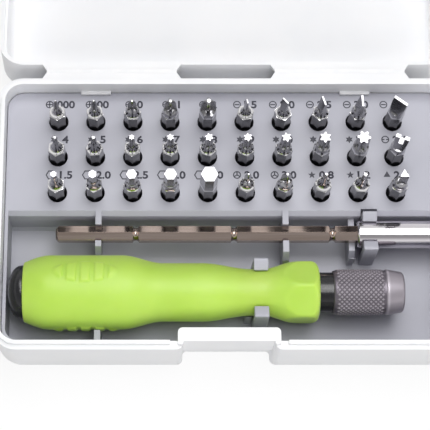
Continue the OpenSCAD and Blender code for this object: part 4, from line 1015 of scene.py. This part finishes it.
class SCREWDRIVERSET_OT_stage(bpy.types.Operator):
    """White floor and room, soft lamps behind, above and in front, and the camera"""
    bl_idname = "screwdriver_set.stage"
    bl_label = "Stage"

    def execute(self, context):
        scene = context.scene
        scene.view_settings.view_transform = "Standard"
        self.floor()
        self.world(scene)
        for name, place, aim, wide, deep, watts in LAMPS:
            bpy.ops.object.light_add(type="AREA", location=place)
            lamp = bpy.context.object
            lamp.name = name
            lamp.rotation_euler = (Vector(aim) - Vector(place)).to_track_quat("-Z", "Y").to_euler()
            lamp.data.shape = "RECTANGLE"
            lamp.data.size, lamp.data.size_y, lamp.data.energy = wide, deep, watts
            lamp.visible_glossy = name != "front"
        bpy.ops.object.camera_add(location=CAMERA_PLACE, rotation=(CAMERA_TILT, 0, 0))
        camera = bpy.context.object
        camera.data.lens, camera.data.sensor_width = CAMERA_LENS, CAMERA_SENSOR
        camera.data.shift_x, camera.data.shift_y = CAMERA_SHIFT
        scene.camera = camera
        return {"FINISHED"}

    def seen(self, tree):
        """1 for what the camera, a reflection or clear plastic shows, 0 for what lights the set."""
        path = add_node(tree, "ShaderNodeLightPath").outputs
        first = add_node(tree, "ShaderNodeMath", {0: path["Is Camera Ray"], 1: path["Is Glossy Ray"]},
                         operation="MAXIMUM")
        return add_node(tree, "ShaderNodeMath", {0: first.outputs[0], 1: path["Is Transmission Ray"]},
                        operation="MAXIMUM").outputs[0]

    def floor(self):
        bpy.ops.object.select_all(action="DESELECT")
        bpy.ops.mesh.primitive_plane_add(size=FLOOR_SIZE, location=(0, 0, -FLOOR_DROP))
        floor = named("studio_floor")
        settle(floor)
        material = bpy.data.materials.new("white_studio_paper")
        material.use_nodes = True
        tree = material.node_tree
        tree.nodes.clear()
        # Matt white paper: mostly as bright as the background, with a faint shadow left on it
        seen = self.seen(tree)
        shade = add_node(tree, "ShaderNodeMix", {
            SHARE: seen, FIRST: colours().floor_bounce, SECOND: colours().floor}, data_type="RGBA")
        paper = add_node(tree, "ShaderNodeBsdfDiffuse", {"Color": shade.outputs[MIXED]})
        glow = add_node(tree, "ShaderNodeEmission", {"Color": colours().floor, "Strength": 1.0})
        share = add_node(tree, "ShaderNodeMath", {0: seen, 1: FLOOR_GLOW}, operation="MULTIPLY")
        mix = add_node(tree, "ShaderNodeMixShader", {
            0: share.outputs[0], 1: paper.outputs[0], 2: glow.outputs[0]})
        add_node(tree, "ShaderNodeOutputMaterial", {"Surface": mix.outputs[0]})
        floor.data.materials.append(material)

    def world(self, scene):
        world = bpy.data.worlds.new("white_studio")
        world.use_nodes = True
        tree = world.node_tree
        tree.nodes.clear()
        # A white room: it is seen bright up to 25 degrees over the horizon and in a panel above and behind,
        # and it lights the set only dimly from higher up
        way = add_node(tree, "ShaderNodeTexCoord").outputs["Generated"]
        rise = add_node(tree, "ShaderNodeSeparateXYZ", {0: way}).outputs["Z"]
        lit = add_node(tree, "ShaderNodeMapRange", {"Value": rise, **ROOM_LIGHT})
        walls = add_node(tree, "ShaderNodeMapRange", {"Value": rise, **ROOM_WALLS})
        towards = add_node(tree, "ShaderNodeVectorMath", {0: way, 1: PANEL_TOWARDS}, operation="DOT_PRODUCT")
        panel = add_node(tree, "ShaderNodeMapRange", {"Value": towards.outputs["Value"], **PANEL_EDGE})
        shown = add_node(tree, "ShaderNodeMath", {0: walls.outputs["Result"], 1: panel.outputs["Result"]},
                         operation="MAXIMUM")
        level = add_node(tree, "ShaderNodeMix", {
            0: self.seen(tree), 2: lit.outputs["Result"], 3: shown.outputs[0]})
        room = add_node(tree, "ShaderNodeBackground", {
            "Color": colours().floor, "Strength": level.outputs[0]})
        add_node(tree, "ShaderNodeOutputWorld", {"Surface": room.outputs[0]})
        scene.world = world


OPERATORS = (
    SCREWDRIVERSET_OT_case, SCREWDRIVERSET_OT_hinge, SCREWDRIVERSET_OT_tray, SCREWDRIVERSET_OT_grip,
    SCREWDRIVERSET_OT_core, SCREWDRIVERSET_OT_chuck, SCREWDRIVERSET_OT_extension, SCREWDRIVERSET_OT_bits,
    SCREWDRIVERSET_OT_marks, SCREWDRIVERSET_OT_stage)


class SCREWDRIVERSET_PT_pieces(bpy.types.Panel):
    """Sizes, colours and pieces of the screwdriver set"""
    bl_idname = "SCREWDRIVERSET_PT_pieces"
    bl_label = "Screwdriver set"
    bl_space_type = "VIEW_3D"
    bl_region_type = "UI"
    bl_category = "Screwdriver set"

    def draw(self, context):
        for group in (sizes(), colours()):
            box = self.layout.box()
            for name in group.__annotations__:
                box.prop(group, name)
        for operator in OPERATORS:
            self.layout.operator(operator.bl_idname)


CLASSES = (ScrewdriverSetSizes, ScrewdriverSetColours, *OPERATORS, SCREWDRIVERSET_PT_pieces)


def register():
    for cls in CLASSES:
        bpy.utils.register_class(cls)
    bpy.types.Scene.screwdriver_set_sizes = bpy.props.PointerProperty(type=ScrewdriverSetSizes)
    bpy.types.Scene.screwdriver_set_colours = bpy.props.PointerProperty(type=ScrewdriverSetColours)


def unregister():
    del bpy.types.Scene.screwdriver_set_colours
    del bpy.types.Scene.screwdriver_set_sizes
    for cls in reversed(CLASSES):
        bpy.utils.unregister_class(cls)


def main():
    register()
    for operator in OPERATORS:
        family, name = operator.bl_idname.split(".")
        getattr(getattr(bpy.ops, family), name)()


if __name__ == "__main__":
    main()
